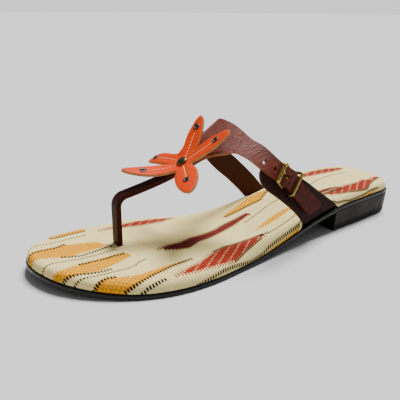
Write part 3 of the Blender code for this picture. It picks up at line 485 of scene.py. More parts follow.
def last_normal(along, girth):
    """The way out of the last at a place in the pattern."""
    step = 0.0004
    down_the_last = last_skin(along + step, girth) - last_skin(along - step, girth)
    round_the_last = last_skin(along, girth + step) - last_skin(along, girth - step)
    return round_the_last.cross(down_the_last).normalized()


def lasted(along, girth, height):
    """A place in the flat pattern, at a height above the last, as a place in the world."""
    return last_skin(along, girth) + last_normal(along, girth) * height


print("the thong's post goes down at", round(POST_ALONG * 1000, 1), "mm from the heel")


# %% [markdown]
# ## The two straps
#
# The upper is two pieces of soft, glossy brown leather, 2 mm thick. One is a T: its band crosses the instep
# from the sole's inner side to the buckle, and its stem runs down to the front and goes into the footbed as
# a folded post. The other is short and wide. It comes up from the sole's outer side and carries the buckle.

# %% The T's outline
STAR_ALONG_SHARE = 0.6392
STAR_GIRTH_SHARE = -0.078
TIP_CORNER_RADIUS = 0.0022
BAND_OUTER = table(
    "girth rear front",
    (-0.945, 0.3275, 0.3840),
    (-0.800, 0.3818, 0.4282),
    (-0.700, 0.4137, 0.4593),
    (-0.600, 0.4435, 0.4905),
    (-0.520, 0.4680, 0.5150),
    (-0.440, 0.4875, 0.5335),
    (-0.360, 0.5030, 0.5480),
    (-0.290, 0.5155, 0.5610),
)
BAND_INNER = table(
    "girth rear front",
    (0.000, 0.5200, 0.5700),
    (0.160, 0.5130, 0.5610),
    (0.300, 0.5010, 0.5470),
    (0.440, 0.4780, 0.5280),
    (0.600, 0.4380, 0.4960),
    (0.800, 0.3830, 0.4440),
    (1.000, 0.3260, 0.3910),
)
STEM = table(
    "along outer inner",
    (0.5740, -0.262, 0.135),
    (0.5880, -0.212, 0.085),
    (0.6060, -0.160, 0.032),
    (0.6350, -0.120, 0.000),
    (0.6756, -0.102, 0.002),
    (0.7163, -0.090, 0.009),
    (0.7569, -0.076, 0.024),
    (0.7793, -0.070, 0.030),
)


def pattern_points(rows, along, girth):
    return [(getattr(row, along) * SOLE_LENGTH, getattr(row, girth) * LAST_GIRTH) for row in rows]


def round_corner(before, corner, after, radius, steps=6):
    """Arc points that replace the corner between two straight runs."""
    back = (before - corner) / np.linalg.norm(before - corner)
    ahead = (after - corner) / np.linalg.norm(after - corner)
    half = math.acos(float(np.clip(back @ ahead, -1.0, 1.0))) / 2
    centre = corner + (back + ahead) / np.linalg.norm(back + ahead) * radius / math.sin(half)
    start = corner + back * radius / math.tan(half) - centre
    end = corner + ahead * radius / math.tan(half) - centre
    mixes = [start * (1 - step / steps) + end * step / steps for step in range(steps + 1)]
    return [centre + mix / np.linalg.norm(mix) * radius for mix in mixes]


def t_strap_outline(steps):
    """Round the band's rear edge to the inner side, back along its front and down the stem."""
    rear = smooth_line(pattern_points(BAND_OUTER + BAND_INNER, "rear", "girth"), steps)
    front_inner = pattern_points(BAND_INNER[:0:-1], "front", "girth")
    stem_inner = pattern_points(STEM, "along", "inner")
    stem_outer = pattern_points(STEM[::-1], "along", "outer")
    front_outer = pattern_points(BAND_OUTER[::-1], "front", "girth")
    inner_line = smooth_line(front_inner + stem_inner, steps)
    outer_line = smooth_line(stem_outer + front_outer, steps)
    tip = round_corner(outer_line[-2], outer_line[-1], rear[0], TIP_CORNER_RADIUS)
    tip += round_corner(outer_line[-1], rear[0], rear[1], TIP_CORNER_RADIUS)
    end_girth = LAST_GIRTH + UNDER_FOOTBED
    under = [(rear[-1][0], end_girth), (front_inner[0][0], end_girth)]
    post = [(POST_END, stem_inner[-1][1]), (POST_END, stem_outer[0][1])]
    loop = rear[1:] + under + inner_line + post + outer_line[:-1] + tip
    return [np.array(p, float) for p in loop]


T_LOOP = t_strap_outline(5)
print("the T's outline has", len(T_LOOP), "points")


# %% [markdown]
# ### The buckle strap
#
# It is wide at the sole, where it carries the load, and narrows to a round top that lies under the T. Its
# table goes up the rear edge, over the top and down the front edge.

# %% The buckle strap's outline
ANCHOR = table(
    "along girth",
    (0.2650, -1.000),
    (0.3420, -0.835),
    (0.4060, -0.685),
    (0.4620, -0.545),
    (0.4820, -0.480),
    (0.5070, -0.462),
    (0.5240, -0.492),
    (0.5280, -0.540),
    (0.5200, -0.600),
    (0.4690, -0.755),
    (0.4220, -0.890),
    (0.3870, -1.000),
)
ANCHOR_REAR_ROWS = 4


def anchor_outline(steps):
    """Up the rear edge, over the rounded top and down the front, with a margin to turn under the footbed."""
    line = smooth_line(pattern_points(ANCHOR, "along", "girth"), steps)
    end_girth = -(LAST_GIRTH + UNDER_FOOTBED)
    loop = [(line[0][0], end_girth)] + line + [(line[-1][0], end_girth)]
    return [np.array(p, float) for p in loop]


ANCHOR_LOOP = anchor_outline(6)
print("the buckle strap's outline has", len(ANCHOR_LOOP), "points")


# %% [markdown]
# ## The strap's own line through the buckle
#
# The buckle, its prong, the spare holes and the wire keeper all sit on one line, which runs obliquely up
# the side of the last. The buckle's heel bar is its zero.

# %% The strap's line, holes and rise
HOLE_RADIUS = 0.0011
SPARE_HOLES = (0.0128, 0.0210)
SLOT_LENGTH = 0.0048
SLOT_WIDTH = 0.0020
SLOT_SETOFF = 0.0043
STRAP_END_WIDTH = 0.0104
OVERLAP_START_SHARE = 0.190
OVERLAP_END_SHARE = 0.420
HUMP_REACH = 0.0050
THICKENING_START_SHARE = 0.6060
HEEL_BAR_RADIUS = 0.00050
PRONG_RADIUS = 0.00045
HEEL_BAR_PLACE = np.array((0.4575 * SOLE_LENGTH, -0.630 * LAST_GIRTH))
RUN = np.array((0.655, 0.755)) / math.hypot(0.655, 0.755)
CROSS = np.array((RUN[1], -RUN[0]))
HEEL_BAR_RISE = STRAP_THICKNESS + GLUE_GAP + HEEL_BAR_RADIUS
PRONG_RING_RADIUS = HEEL_BAR_RADIUS + HOLE_CLEARANCE + PRONG_RADIUS
HUMP_HEIGHT = HEEL_BAR_RISE + PRONG_RING_RADIUS + PRONG_RADIUS - STRAP_THICKNESS
STAR_PLACE = np.array((STAR_ALONG_SHARE * SOLE_LENGTH, STAR_GIRTH_SHARE * LAST_GIRTH))


def along_strap(distance, across=0.0):
    return HEEL_BAR_PLACE + RUN * distance + CROSS * across


def round_hole(centre, radius, sides=16):
    angles = [2 * math.pi * i / sides for i in range(sides)]
    return [np.array((centre[0] + radius * math.cos(a), centre[1] + radius * math.sin(a))) for a in angles]


def long_hole(centre, run, length, width, steps=6):
    """A slot with round ends, its length along run."""
    run = np.array(run, float)
    cross = np.array((-run[1], run[0]))
    points = []
    for end in (1, -1):
        middle = np.array(centre) + run * end * (length - width) / 2
        for step in range(steps + 1):
            angle = math.pi * (step / steps - 0.5)
            points.append(middle + end * width / 2 * (run * math.cos(angle) + cross * math.sin(angle)))
    return points


def band_lift(along, girth):
    """The T lies on the last, then climbs over the buckle strap, with a hump where the heel bar is under it."""
    climb = smooth_step((-girth / LAST_GIRTH - OVERLAP_START_SHARE) / (OVERLAP_END_SHARE - OVERLAP_START_SHARE))
    if climb == 0.0 or along > BEND_ALONG:
        return 0.0
    distance = float((np.array((along, girth)) - HEEL_BAR_PLACE) @ RUN)
    hump = HUMP_HEIGHT * math.exp(-((distance / HUMP_REACH) ** 2))
    return climb * (STRAP_THICKNESS + GLUE_GAP + hump)


def stem_thickening(along):
    """The stem thickens towards the post, where the leather is folded double."""
    start = THICKENING_START_SHARE * SOLE_LENGTH
    return 1 + (POST_THICKNESS / STRAP_THICKNESS - 1) * smooth_step((along - start) / (BEND_ALONG - start))


print("over the heel bar the band stands", round(band_lift(*along_strap(0.0)) * 1000, 2), "mm higher")


# %% [markdown]
# ## Creases
#
# Leather that is worn bends in the same places each time. Each crease is one row: where it is in the
# pattern (mm), which way it runs (degrees), and how long, wide and deep it is (mm). They are soft troughs,
# like real ones, so a bell-shaped profile is used across and along each.

# %% Crease tables
CREASES_T = table(
    "along girth turn length width depth",
    (112.0, -58.0, -41, 9.0, 1.3, 0.22),
    (114.8, -55.6, -38, 8.0, 1.1, 0.16),
    (122.5, -45.0, -35, 9.0, 1.6, 0.18),
    (127.5, -37.5, -20, 8.0, 1.5, 0.14),
    (133.0, -22.0, -8, 9.0, 2.0, 0.16),
    (142.0, -16.0, 40, 9.0, 1.6, 0.22),
    (146.0, -2.0, -35, 8.0, 1.6, 0.18),
    (134.5, 6.0, 15, 10.0, 1.8, 0.16),
    (130.0, 24.0, 20, 9.0, 1.6, 0.15),
    (121.0, 39.0, 30, 9.0, 1.8, 0.18),
    (172.0, -4.0, 92, 5.0, 1.2, 0.15),
    (180.0, -3.0, 84, 6.0, 1.4, 0.20),
    (186.0, -2.4, 90, 6.0, 1.2, 0.22),
)
CREASES_ANCHOR = table(
    "along girth turn length width depth",
    (100.0, -66.0, -44, 12.0, 1.8, 0.22),
    (92.0, -74.0, -38, 12.0, 2.0, 0.20),
    (105.0, -72.0, -60, 10.0, 1.8, 0.18),
)


def crease_depth(rows, along, girth):
    """How far the outer face is pressed in at a place in the pattern."""
    depth = 0.0
    for row in rows:
        x, y = along * 1000 - row.along, girth * 1000 - row.girth
        turn = math.radians(row.turn)
        down = x * math.cos(turn) + y * math.sin(turn)
        side = y * math.cos(turn) - x * math.sin(turn)
        depth += row.depth * math.exp(-((2 * down / row.length) ** 2) - (side / row.width) ** 2)
    return depth / 1000


print(len(CREASES_T) + len(CREASES_ANCHOR), "creases, the deepest", max(column(CREASES_T, "depth")), "mm")


# %% [markdown]
# ### Cut and last the T
#
# The T is cut flat with its spare holes and the prong's slot, creased from the outer face and bent over
# the last. Faces are about 1 mm, small enough for the tight bend into the post.

# %% Cut and last the T
STRAP_RIM = 0.00055
STRAP_CUT = 0.0011
HOLE_RIM = 0.00025
BEND_STEPS = 12
POST_CUT = 0.0040


def last_strap(name, loops, along_cuts, girth_cuts, lift, creases):
    """Cut a strap flat, press its creases in and bend it over the last."""
    bm = cut_flat(loops[0], STRAP_THICKNESS, STRAP_RIM, STRAP_RIM, along_cuts, girth_cuts, loops[1:],
                  hole_radius=HOLE_RIM)
    flat = [tuple(v.co) for v in bm.verts]
    for vertex, (along, girth, height) in zip(bm.verts, flat):
        share = height / STRAP_THICKNESS
        pressed = lift(along, girth, height) - share * crease_depth(creases, along, girth)
        vertex.co = lasted(along, girth, pressed)
    return finish_piece(name, bm, flat, loops)


def turn_cuts(side):
    return [side * (LAST_GIRTH + TURN_RADIUS * math.pi / 2 * i / 4) for i in range(5)]


T_HOLES = [round_hole(along_strap(step), HOLE_RADIUS) for step in SPARE_HOLES]
T_HOLES.append(long_hole(along_strap(SLOT_SETOFF), RUN, SLOT_LENGTH, SLOT_WIDTH))
along_cuts = regular_cuts(0.32 * SOLE_LENGTH, BEND_ALONG, STRAP_CUT)
along_cuts += regular_cuts(BEND_ALONG, BEND_ALONG + BEND_PATH, BEND_PATH / BEND_STEPS)[1:]
along_cuts += regular_cuts(BEND_ALONG + BEND_PATH, POST_END, POST_CUT)[1:-1]
girth_cuts = regular_cuts(-0.95 * LAST_GIRTH, 0.99 * LAST_GIRTH, STRAP_CUT) + turn_cuts(1)
t_strap = last_strap(
    "t_strap_leather",
    [T_LOOP] + T_HOLES,
    along_cuts,
    girth_cuts,
    lambda along, girth, height: height * stem_thickening(along) + band_lift(along, girth),
    CREASES_T,
)
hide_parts("t_strap")


# %% [markdown]
# ### Cut and last the buckle strap
#
# The buckle and the keeper are placed in frames that ride on the strap's line. The buckle strap gets a
# slot for the prong's ring and a hole where the keeper's wire comes through, so each is looked up from
# the wire's own place.

# %% Cut and last the buckle strap
ANCHOR_SLOT_SETOFF = 0.0005
ANCHOR_SLOT_LENGTH = 0.0056
KEEPER_HOLE_RADIUS = 0.0012
ANCHOR_CUT = 1.4 * STRAP_CUT


def strap_frame(distance):
    """A frame on the last's skin: x up the strap, y across it to the front, z out of the last."""
    place = along_strap(distance)
    out = last_normal(*place)
    ahead = last_skin(*along_strap(distance + 0.002)) - last_skin(*along_strap(distance - 0.002))
    ahead = (ahead - out * ahead.dot(out)).normalized()
    side = out.cross(ahead)
    if side.x > 0:
        side = -side
    frame_matrix = Matrix((ahead, side, out)).transposed().to_4x4()
    frame_matrix.translation = last_skin(*place)
    return frame_matrix


def place_under(frame_matrix, x, y):
    """The place in the pattern that lies under (x, y) of a strap frame, found by a few Newton steps."""
    to_frame = frame_matrix.inverted()
    place = HEEL_BAR_PLACE
    step = 0.0001
    for _ in range(8):
        here = to_frame @ last_skin(*place)
        slopes = []
        for move in ((step, 0.0), (0.0, step)):
            there = to_frame @ last_skin(*(place + move))
            slopes.append(((there.x - here.x) / step, (there.y - here.y) / step))
        place = place + np.linalg.solve(np.array(slopes).T, (x - here.x, y - here.y))
    return place


KEEPER_RADIUS = 0.00085
KEEPER_SETBACK = 0.0072
KEEPER_FRONT = STRAP_END_WIDTH / 2 + HOLE_CLEARANCE + KEEPER_RADIUS
keeper_matrix = strap_frame(-KEEPER_SETBACK)
buckle_matrix = strap_frame(0.0)
keeper_place = place_under(keeper_matrix, 0.0, KEEPER_FRONT)
ANCHOR_HOLES = [
    long_hole(along_strap(ANCHOR_SLOT_SETOFF), RUN, ANCHOR_SLOT_LENGTH, 2 * (PRONG_RADIUS + HOLE_CLEARANCE)),
    round_hole(keeper_place, KEEPER_HOLE_RADIUS),
]
buckle_strap = last_strap(
    "buckle_strap_leather",
    [ANCHOR_LOOP] + ANCHOR_HOLES,
    regular_cuts(0.27 * SOLE_LENGTH, 0.53 * SOLE_LENGTH, ANCHOR_CUT),
    regular_cuts(-0.99 * LAST_GIRTH, -0.46 * LAST_GIRTH, ANCHOR_CUT) + turn_cuts(-1),
    lambda along, girth, height: height,
    CREASES_ANCHOR,
)
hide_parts("buckle_strap")


# %% [markdown]
# ## Cast buckle
#
# The buckle is one cast loop of brass: a thick, rounded front bar that shows, and thin arms and a thin
# heel bar that hide under the leather. A curve with a round bevel is a bent bar, and its radius may change
# along the way, which gives the cast loop its swelling front.

# %% The buckle
BUCKLE_WIDTH = 0.0121
BUCKLE_LENGTH = 0.0088
FRONT_BAR_RADIUS = 0.00125
SIDE_ARM_RADIUS = 0.00055
BUCKLE_CORNER = 0.0018
BAR_STEP = 0.0004
SWELL_START_SHARE = 0.80


def bent_bar(name, points, radii, frame_matrix, closed):
    """A round bar along a path, turned into a mesh."""
    curve = bpy.data.curves.new(name, "CURVE")
    curve.dimensions = "3D"
    curve.bevel_depth = 1.0
    curve.bevel_resolution = 5
    curve.use_fill_caps = not closed
    spline = curve.splines.new("POLY")
    spline.points.add(len(points) - 1)
    for spot, point, radius in zip(spline.points, points, radii):
        spot.co = (*(frame_matrix @ Vector(point)), 1.0)
        spot.radius = radius
    spline.use_cyclic_u = closed
    bar = bpy.data.objects.new(name, curve)
    bm = bmesh.new()
    bm.from_mesh(bpy.data.meshes.new_from_object(bar))
    bpy.data.objects.remove(bar)
    bmesh.ops.remove_doubles(bm, verts=bm.verts[:], dist=1e-6)
    bmesh.ops.recalc_face_normals(bm, faces=bm.faces[:])
    return finish_piece(name, bm)


def rounded_rectangle(low, high, half_width, corner, steps=8):
    """Points of a loop round a rectangle in x from low to high, its corners rounded."""
    points = []
    centres = ((high, -half_width), (high, half_width), (low, half_width), (low, -half_width))
    for quarter, (x, y) in enumerate(centres):
        middle_x = x + (corner if x == low else -corner)
        middle_y = y + (corner if y < 0 else -corner)
        for step in range(steps + 1):
            angle = math.pi / 2 * (quarter - 1 + step / steps)
            points.append((middle_x + corner * math.cos(angle), middle_y + corner * math.sin(angle)))
    return points


over_strap = band_lift(*along_strap(BUCKLE_LENGTH)) + STRAP_THICKNESS + GLUE_GAP + FRONT_BAR_RADIUS
front_bar = buckle_matrix.inverted() @ lasted(*along_strap(BUCKLE_LENGTH), over_strap)
reach, rise = front_bar.x, front_bar.z
path, radii = [], []
buckle_loop = rounded_rectangle(0.0, reach, BUCKLE_WIDTH / 2, BUCKLE_CORNER)
for x, y in even_loop([np.array(p) for p in buckle_loop], BAR_STEP):
    share = x / reach
    path.append((x, y, HEEL_BAR_RISE + (rise - HEEL_BAR_RISE) * share))
    thin = HEEL_BAR_RADIUS + (SIDE_ARM_RADIUS - HEEL_BAR_RADIUS) * smooth_step(share * 5)
    radii.append(thin + (FRONT_BAR_RADIUS - SIDE_ARM_RADIUS) * smooth_step((share - SWELL_START_SHARE) * 6))
buckle = bent_bar("buckle_cast", path, radii, buckle_matrix, closed=True)
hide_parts("buckle_frame")


# %% [markdown]
# ### Prong
#
# The prong is bent wire. It goes round the heel bar in an open ring, runs straight up through the strap's
# slot, and its tip is bent down over the front bar, on which it rests.

# %% The prong
RING_START_ANGLE = 11
RING_SWEEP_ANGLE = 290
RING_STEPS = 24
TIP_END_ANGLE = 62
TIP_STEPS = 8
rest = FRONT_BAR_RADIUS + PRONG_RADIUS + GLUE_GAP / 3
path = []
for step in range(RING_STEPS + 1):
    angle = math.radians(RING_START_ANGLE + RING_SWEEP_ANGLE * step / RING_STEPS)
    ring_z = HEEL_BAR_RISE + PRONG_RING_RADIUS * math.sin(angle)
    path.append((PRONG_RING_RADIUS * math.cos(angle), 0.0, ring_z))
start = path[-1]
run, climb = reach - start[0], rise - start[2]
slope = math.atan2(climb, run) + math.asin(rest / math.hypot(run, climb))
touch = (reach - rest * math.sin(slope), 0.0, rise + rest * math.cos(slope))
for share in (0.3, 0.6, 0.85):
    path.append(tuple(s + (t - s) * share for s, t in zip(start, touch)))
tip_start = math.pi / 2 + slope
for step in range(TIP_STEPS + 1):
    angle = tip_start + (math.radians(TIP_END_ANGLE) - tip_start) * step / TIP_STEPS
    path.append((reach + rest * math.cos(angle), 0.0, rise + rest * math.sin(angle)))
prong = bent_bar("prong_wire", path, [PRONG_RADIUS] * len(path), buckle_matrix, closed=False)
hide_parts("buckle_prong")


# %% [markdown]
# ### Keeper
#
# The keeper is a rounded rectangle of wire. It goes round both straps and holds the T's end down: behind
# the buckle strap's rear edge on one side, and through its own hole on the other.

# %% The keeper
STRAP_BOW = 0.0003
KEEPER_CORNER = 0.0010
top = band_lift(*along_strap(-KEEPER_SETBACK)) + STRAP_THICKNESS + GLUE_GAP + KEEPER_RADIUS
bottom = -(GLUE_GAP + KEEPER_RADIUS + STRAP_BOW)
to_keeper = keeper_matrix.inverted()
rear_line = smooth_line(pattern_points(ANCHOR[:ANCHOR_REAR_ROWS], "along", "girth"), 4)
rear_points = [to_keeper @ lasted(*place, STRAP_THICKNESS / 2) for place in rear_line]
rear_edge = float(np.interp(0.0, [p.x for p in rear_points], [p.y for p in rear_points]))
rear = HOLE_CLEARANCE + KEEPER_RADIUS - rear_edge
half = (rear + KEEPER_FRONT) / 2
middle = (KEEPER_FRONT - rear) / 2
path = [(0.0, middle + y, z) for z, y in rounded_rectangle(bottom, top, half, KEEPER_CORNER)]
keeper = bent_bar("keeper_wire", path, [KEEPER_RADIUS] * len(path), keeper_matrix, closed=True)
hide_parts("keeper_loop")


# %% [markdown]
# ## The starfish
#
# It is die-cut from one thick piece of orange leather with a pinked (finely notched) edge, tacked down by
# one domed stud, and its five arms are bent by hand: some stand up off the strap and one curls down. Each
# arm has a shallow groove down its middle, sewn over with pale thread up to a small black eyelet.

# %% The star's shape
STAR_THICKNESS = 0.0018
STAR_LEVEL_RADIUS = 0.0034
STAR_BASE = STRAP_THICKNESS + GLUE_GAP + 0.0006
STUD_RADIUS = 0.0032
ARMS = table(
    "name angle length half_width lift curl eyelet web",
    ("a", 30.0, 0.0317, 0.0050, 0.0072, 1.2, 0.76, 0.0100),
    ("e", 106.0, 0.0345, 0.0044, -0.0062, 2.9, 0.73, 0.0086),
    ("d", 162.0, 0.0312, 0.0050, 0.0152, 1.7, 0.70, 0.0078),
    ("c", 248.0, 0.0290, 0.0066, 0.0012, 1.3, 0.63, 0.0070),
    ("b", 337.0, 0.0312, 0.0053, 0.0052, 1.1, 0.71, 0.0092),
)
ARM_PROFILE = table(
    "station width",
    (0.36, 0.97),
    (0.52, 1.00),
    (0.68, 0.92),
    (0.82, 0.70),
    (0.94, 0.42),
)
NOTCH_PITCH = 0.0011
NOTCH_DEPTH = 0.00016


def arm_place(arm, station, across=0.0):
    """A point of the flat star by its station along an arm and its distance to the arm's left."""
    angle = math.radians(arm.angle)
    radius = station * arm.length
    along = radius * math.cos(angle) - across * math.sin(angle)
    return np.array((along, radius * math.sin(angle) + across * math.cos(angle)))


def star_outline():
    points = []
    for i, arm in enumerate(ARMS):
        following = ARMS[(i + 1) % len(ARMS)]
        points += [arm_place(arm, row.station, -row.width * arm.half_width) for row in ARM_PROFILE]
        points += [arm_place(arm, 1.0)]
        points += [arm_place(arm, row.station, row.width * arm.half_width) for row in ARM_PROFILE[::-1]]
        notch_angle = math.radians(arm.angle + (following.angle - arm.angle) % 360 / 2)
        points += [arm.web * np.array((math.cos(notch_angle), math.sin(notch_angle)))]
    loop = even_loop(smooth_line(points, 8, closed=True), NOTCH_PITCH / 2)
    normal_loop = offset_loop(loop, 1.0)
    side = [1 if i % 2 else -1 for i in range(len(loop))]
    return [p + (n - p) * s * NOTCH_DEPTH for p, n, s in zip(loop, normal_loop, side)]


def star_rise(x, y):
    """How far the bent star stands over its own flat plane: level under the stud, then along each arm."""
    radius = math.hypot(x, y)
    reach_out = radius - STAR_LEVEL_RADIUS
    if reach_out <= 0:
        return 0.0
    angle = math.atan2(y, x)
    total = 0.0
    risen = 0.0
    for arm in ARMS:
        near = max(0.0, math.cos(angle - math.radians(arm.angle))) ** 10
        total += near
        risen += near * arm.lift * (reach_out / (arm.length - STAR_LEVEL_RADIUS)) ** arm.curl
    return risen / max(total, 1e-9)


def star_point(x, y, height):
    """A place on the bent star in the star's frame, at a height over its lower face, and the way out of it."""
    step = 0.0002
    slope_x = (star_rise(x + step, y) - star_rise(x - step, y)) / (2 * step)
    slope_y = (star_rise(x, y + step) - star_rise(x, y - step)) / (2 * step)
    out = Vector((-slope_x, -slope_y, 1.0)).normalized()
    return Vector((x, y, STAR_BASE + star_rise(x, y))) + out * height, out


out = last_normal(*STAR_PLACE)
up_the_last = last_skin(STAR_PLACE[0] - 0.001, STAR_PLACE[1]) - last_skin(STAR_PLACE[0] + 0.001, STAR_PLACE[1])
up_the_last = (up_the_last - out * up_the_last.dot(out)).normalized()
star_matrix = Matrix((up_the_last, out.cross(up_the_last), out)).transposed().to_4x4()
star_matrix.translation = last_skin(*STAR_PLACE)
STAR_LOOP = star_outline()
print("the pinked edge has", len(STAR_LOOP) // 2, "notches")


# %% [markdown]
# ### Relief of the star's face
#
# The knife presses the rim down a little, the seam pulls a groove into each arm, and the hand bending
# leaves creases near the middle. All three are pressed into the flat piece before it is bent.

# %% Relief of the star's face
GROOVE_DEPTH = 0.00028
GROOVE_WIDTH = 0.0011
GROOVE_END = 0.0020
EDGE_FALL = 0.00035
EDGE_FALL_REACH = 0.0012
STAR_RIM = 0.00025
STAR_CUT = 0.0009
STAR_REACH = 0.0345
EYELET_HOLE = 0.00145
STAR_CREASES = table(
    "x y turn length width depth",
    (1.5, 6.5, 75, 7.0, 0.9, 0.25),
    (-1.0, 7.5, 100, 7.0, 0.8, 0.20),
    (-6.0, 3.5, 150, 6.0, 0.9, 0.18),
    (-4.5, -5.0, 225, 7.0, 0.9, 0.20),
    (5.5, -4.5, 310, 7.0, 0.9, 0.20),
    (7.0, 3.0, 20, 7.0, 1.0, 0.16),
)


def star_relief(x, y, rim):
    """How far the face lies under the leather's full thickness: worn edges, sewn grooves and creases."""
    fall = EDGE_FALL * math.exp(-rim / EDGE_FALL_REACH)
    for arm in ARMS:
        angle = math.radians(arm.angle)
        down = x * math.cos(angle) + y * math.sin(angle)
        side = y * math.cos(angle) - x * math.sin(angle)
        begun = smooth_step((down - STUD_RADIUS) / GROOVE_END)
        inside = begun * smooth_step((arm.eyelet * arm.length - down) / GROOVE_END)
        fall += GROOVE_DEPTH * inside * math.exp(-((side / GROOVE_WIDTH) ** 2))
    for row in STAR_CREASES:
        turn = math.radians(row.turn)
        dx, dy = x * 1000 - row.x, y * 1000 - row.y
        down = dx * math.cos(turn) + dy * math.sin(turn)
        side = dy * math.cos(turn) - dx * math.sin(turn)
        fall += row.depth / 1000 * math.exp(-((2 * down / row.length) ** 2) - (side / row.width) ** 2)
    return fall


star_holes = [round_hole(arm_place(arm, arm.eyelet), EYELET_HOLE) for arm in ARMS]
cuts = regular_cuts(-STAR_REACH, STAR_REACH, STAR_CUT)
bm = cut_flat(STAR_LOOP, STAR_THICKNESS, STAR_RIM, 0.0, cuts, cuts, star_holes, segments=2)
flat = [tuple(v.co) for v in bm.verts]
rims = edge_distance(np.array(flat)[:, :2], [STAR_LOOP])
for vertex, (x, y, height), rim in zip(bm.verts, flat, rims):
    fallen = height - star_relief(x, y, rim) * height / STAR_THICKNESS
    vertex.co = star_matrix @ star_point(x, y, fallen)[0]
starfish = finish_piece("starfish_leather", bm, flat, [STAR_LOOP], smooth_angle=40)
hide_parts("starfish")


# %% [markdown]
# ## Stitches
#
# Real stitches are short lengths of thread that dive into the leather at both ends, so each is a small
# ball stretched along its arm and sunk a little into the groove.

# %% Sew the arms
STITCH = table("arm pitch length", ("a", 1.9, 1.25), ("e", 1.9, 1.3), ("d", 1.9, 1.25),
               ("c", 1.5, 1.5), ("b", 1.5, 1.45))
THREAD_RADIUS = 0.00027
SEAM_START_GAP = 0.0006
SEAM_END_GAP = 0.0020
RUN_STEP = 0.0004
bm = bmesh.new()
for row in STITCH:
    arm = next(arm for arm in ARMS if arm.name == row.arm)
    start, end = STUD_RADIUS + SEAM_START_GAP, arm.eyelet * arm.length - SEAM_END_GAP
    for distance in regular_cuts(start + row.length / 2000, end - row.length / 2000, row.pitch / 1000):
        x, y = arm_place(arm, distance / arm.length)
        x2, y2 = arm_place(arm, (distance + RUN_STEP) / arm.length)
        here, out = star_point(x, y, STAR_THICKNESS - GROOVE_DEPTH + THREAD_RADIUS * 0.25)
        there = star_point(x2, y2, STAR_THICKNESS - GROOVE_DEPTH + THREAD_RADIUS * 0.25)[0]
        ahead = (there - here).normalized()
        axes = Matrix((ahead, out.cross(ahead), out)).transposed().to_4x4()
        axes.translation = here
        size = Matrix.Diagonal((row.length / 2000, THREAD_RADIUS, THREAD_RADIUS, 1.0))
        bmesh.ops.create_uvsphere(bm, u_segments=10, v_segments=8, radius=1.0, matrix=star_matrix @ axes @ size)
bmesh.ops.recalc_face_normals(bm, faces=bm.faces[:])
stitches = finish_piece("star_stitches", bm)


# %% [markdown]
# ### Eyelets and stud
#
# Both are turned bodies: a short tube with a rolled flange, and a low dome. Each is a profile spun round
# the axis that stands out of the leather at its place.

# %% Eyelets
EYELET_BORE = 0.00085
EYELET_BARREL = 0.00125
EYELET_FLANGE = 0.00200
FLANGE_EDGE = 0.00012
FLANGE_ROLL = 0.00038


def turned(name, profile, matrix, sides=32):
    """A body turned round its own z axis from a closed profile of (radius, height)."""
    bm = bmesh.new()
    verts = [bm.verts.new((radius, 0.0, height)) for radius, height in profile]
    edges = [bm.edges.new(pair) for pair in zip(verts, verts[1:] + verts[:1])]
    bmesh.ops.spin(bm, geom=verts + edges, axis=(0, 0, 1), cent=(0, 0, 0), angle=2 * math.pi, steps=sides,
                   use_merge=True)
    bmesh.ops.remove_doubles(bm, verts=bm.verts[:], dist=1e-6)
    bmesh.ops.dissolve_degenerate(bm, dist=1e-7, edges=bm.edges[:])
    bmesh.ops.transform(bm, matrix=matrix, verts=bm.verts[:])
    bmesh.ops.recalc_face_normals(bm, faces=bm.faces[:])
    return finish_piece(name, bm, smooth_angle=60)


eyelets = []
for arm in ARMS:
    centre, out = star_point(*arm_place(arm, arm.eyelet), STAR_THICKNESS)
    side = Vector((0, 1, 0)).cross(out).normalized()
    seat = Matrix((side, out.cross(side), out)).transposed().to_4x4()
    seat.translation = centre
    profile = [(EYELET_BORE, -STAR_THICKNESS), (EYELET_BARREL, -STAR_THICKNESS), (EYELET_BARREL, 0.0)]
    profile += [(EYELET_FLANGE, 0.0), (EYELET_FLANGE, FLANGE_EDGE)]
    for step in range(1, 7):
        angle = math.pi * step / 6
        middle = (EYELET_FLANGE + EYELET_BORE) / 2
        radius = middle + (EYELET_FLANGE - middle) * math.cos(angle)
        profile.append((radius, FLANGE_EDGE + FLANGE_ROLL * math.sin(angle)))
    eyelet = turned("eyelet_" + arm.name, profile, star_matrix @ seat)
    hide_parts("arm_eyelet_" + arm.name)
    eyelets.append(eyelet)


# %% [markdown]
# ### Stud
#
# One domed stud goes through star and strap. Its shank is thin, and its cap has a small upright rim.

# %% Stud
STUD_RIM = 0.0003
STUD_DOME = 0.0012
STUD_UNDERCUT = 0.0002
STUD_SHANK = 0.0008
STUD_STEPS = 12
low = STAR_BASE + STAR_THICKNESS + 0.00005
profile = []
for step in range(STUD_STEPS):
    angle = math.pi / 2 / STUD_STEPS * step
    profile.append((STUD_RADIUS * math.sin(angle), low + STUD_RIM + STUD_DOME * math.cos(angle)))
profile += [(STUD_RADIUS, low + STUD_RIM), (STUD_RADIUS - STUD_UNDERCUT, low), (STUD_SHANK, low)]
profile += [(STUD_SHANK, GLUE_GAP), (0.0, GLUE_GAP)]
stud = turned("stud_dome", profile, star_matrix)
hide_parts("center_stud")


# %% [markdown]
# ## The padded footbed
#
# The cover is a woven cloth pulled over a thin foam pad on a board. Its edge is round, 4 mm, and the cloth
# goes down over it to the outsole. The straps go down outside it and are lasted under it, so the edge is
# drawn in and the pad is hollowed there. For the figures, the cloth is unrolled flat: a point on the
# rounded edge lies as far out from the flat part as the arc is long.

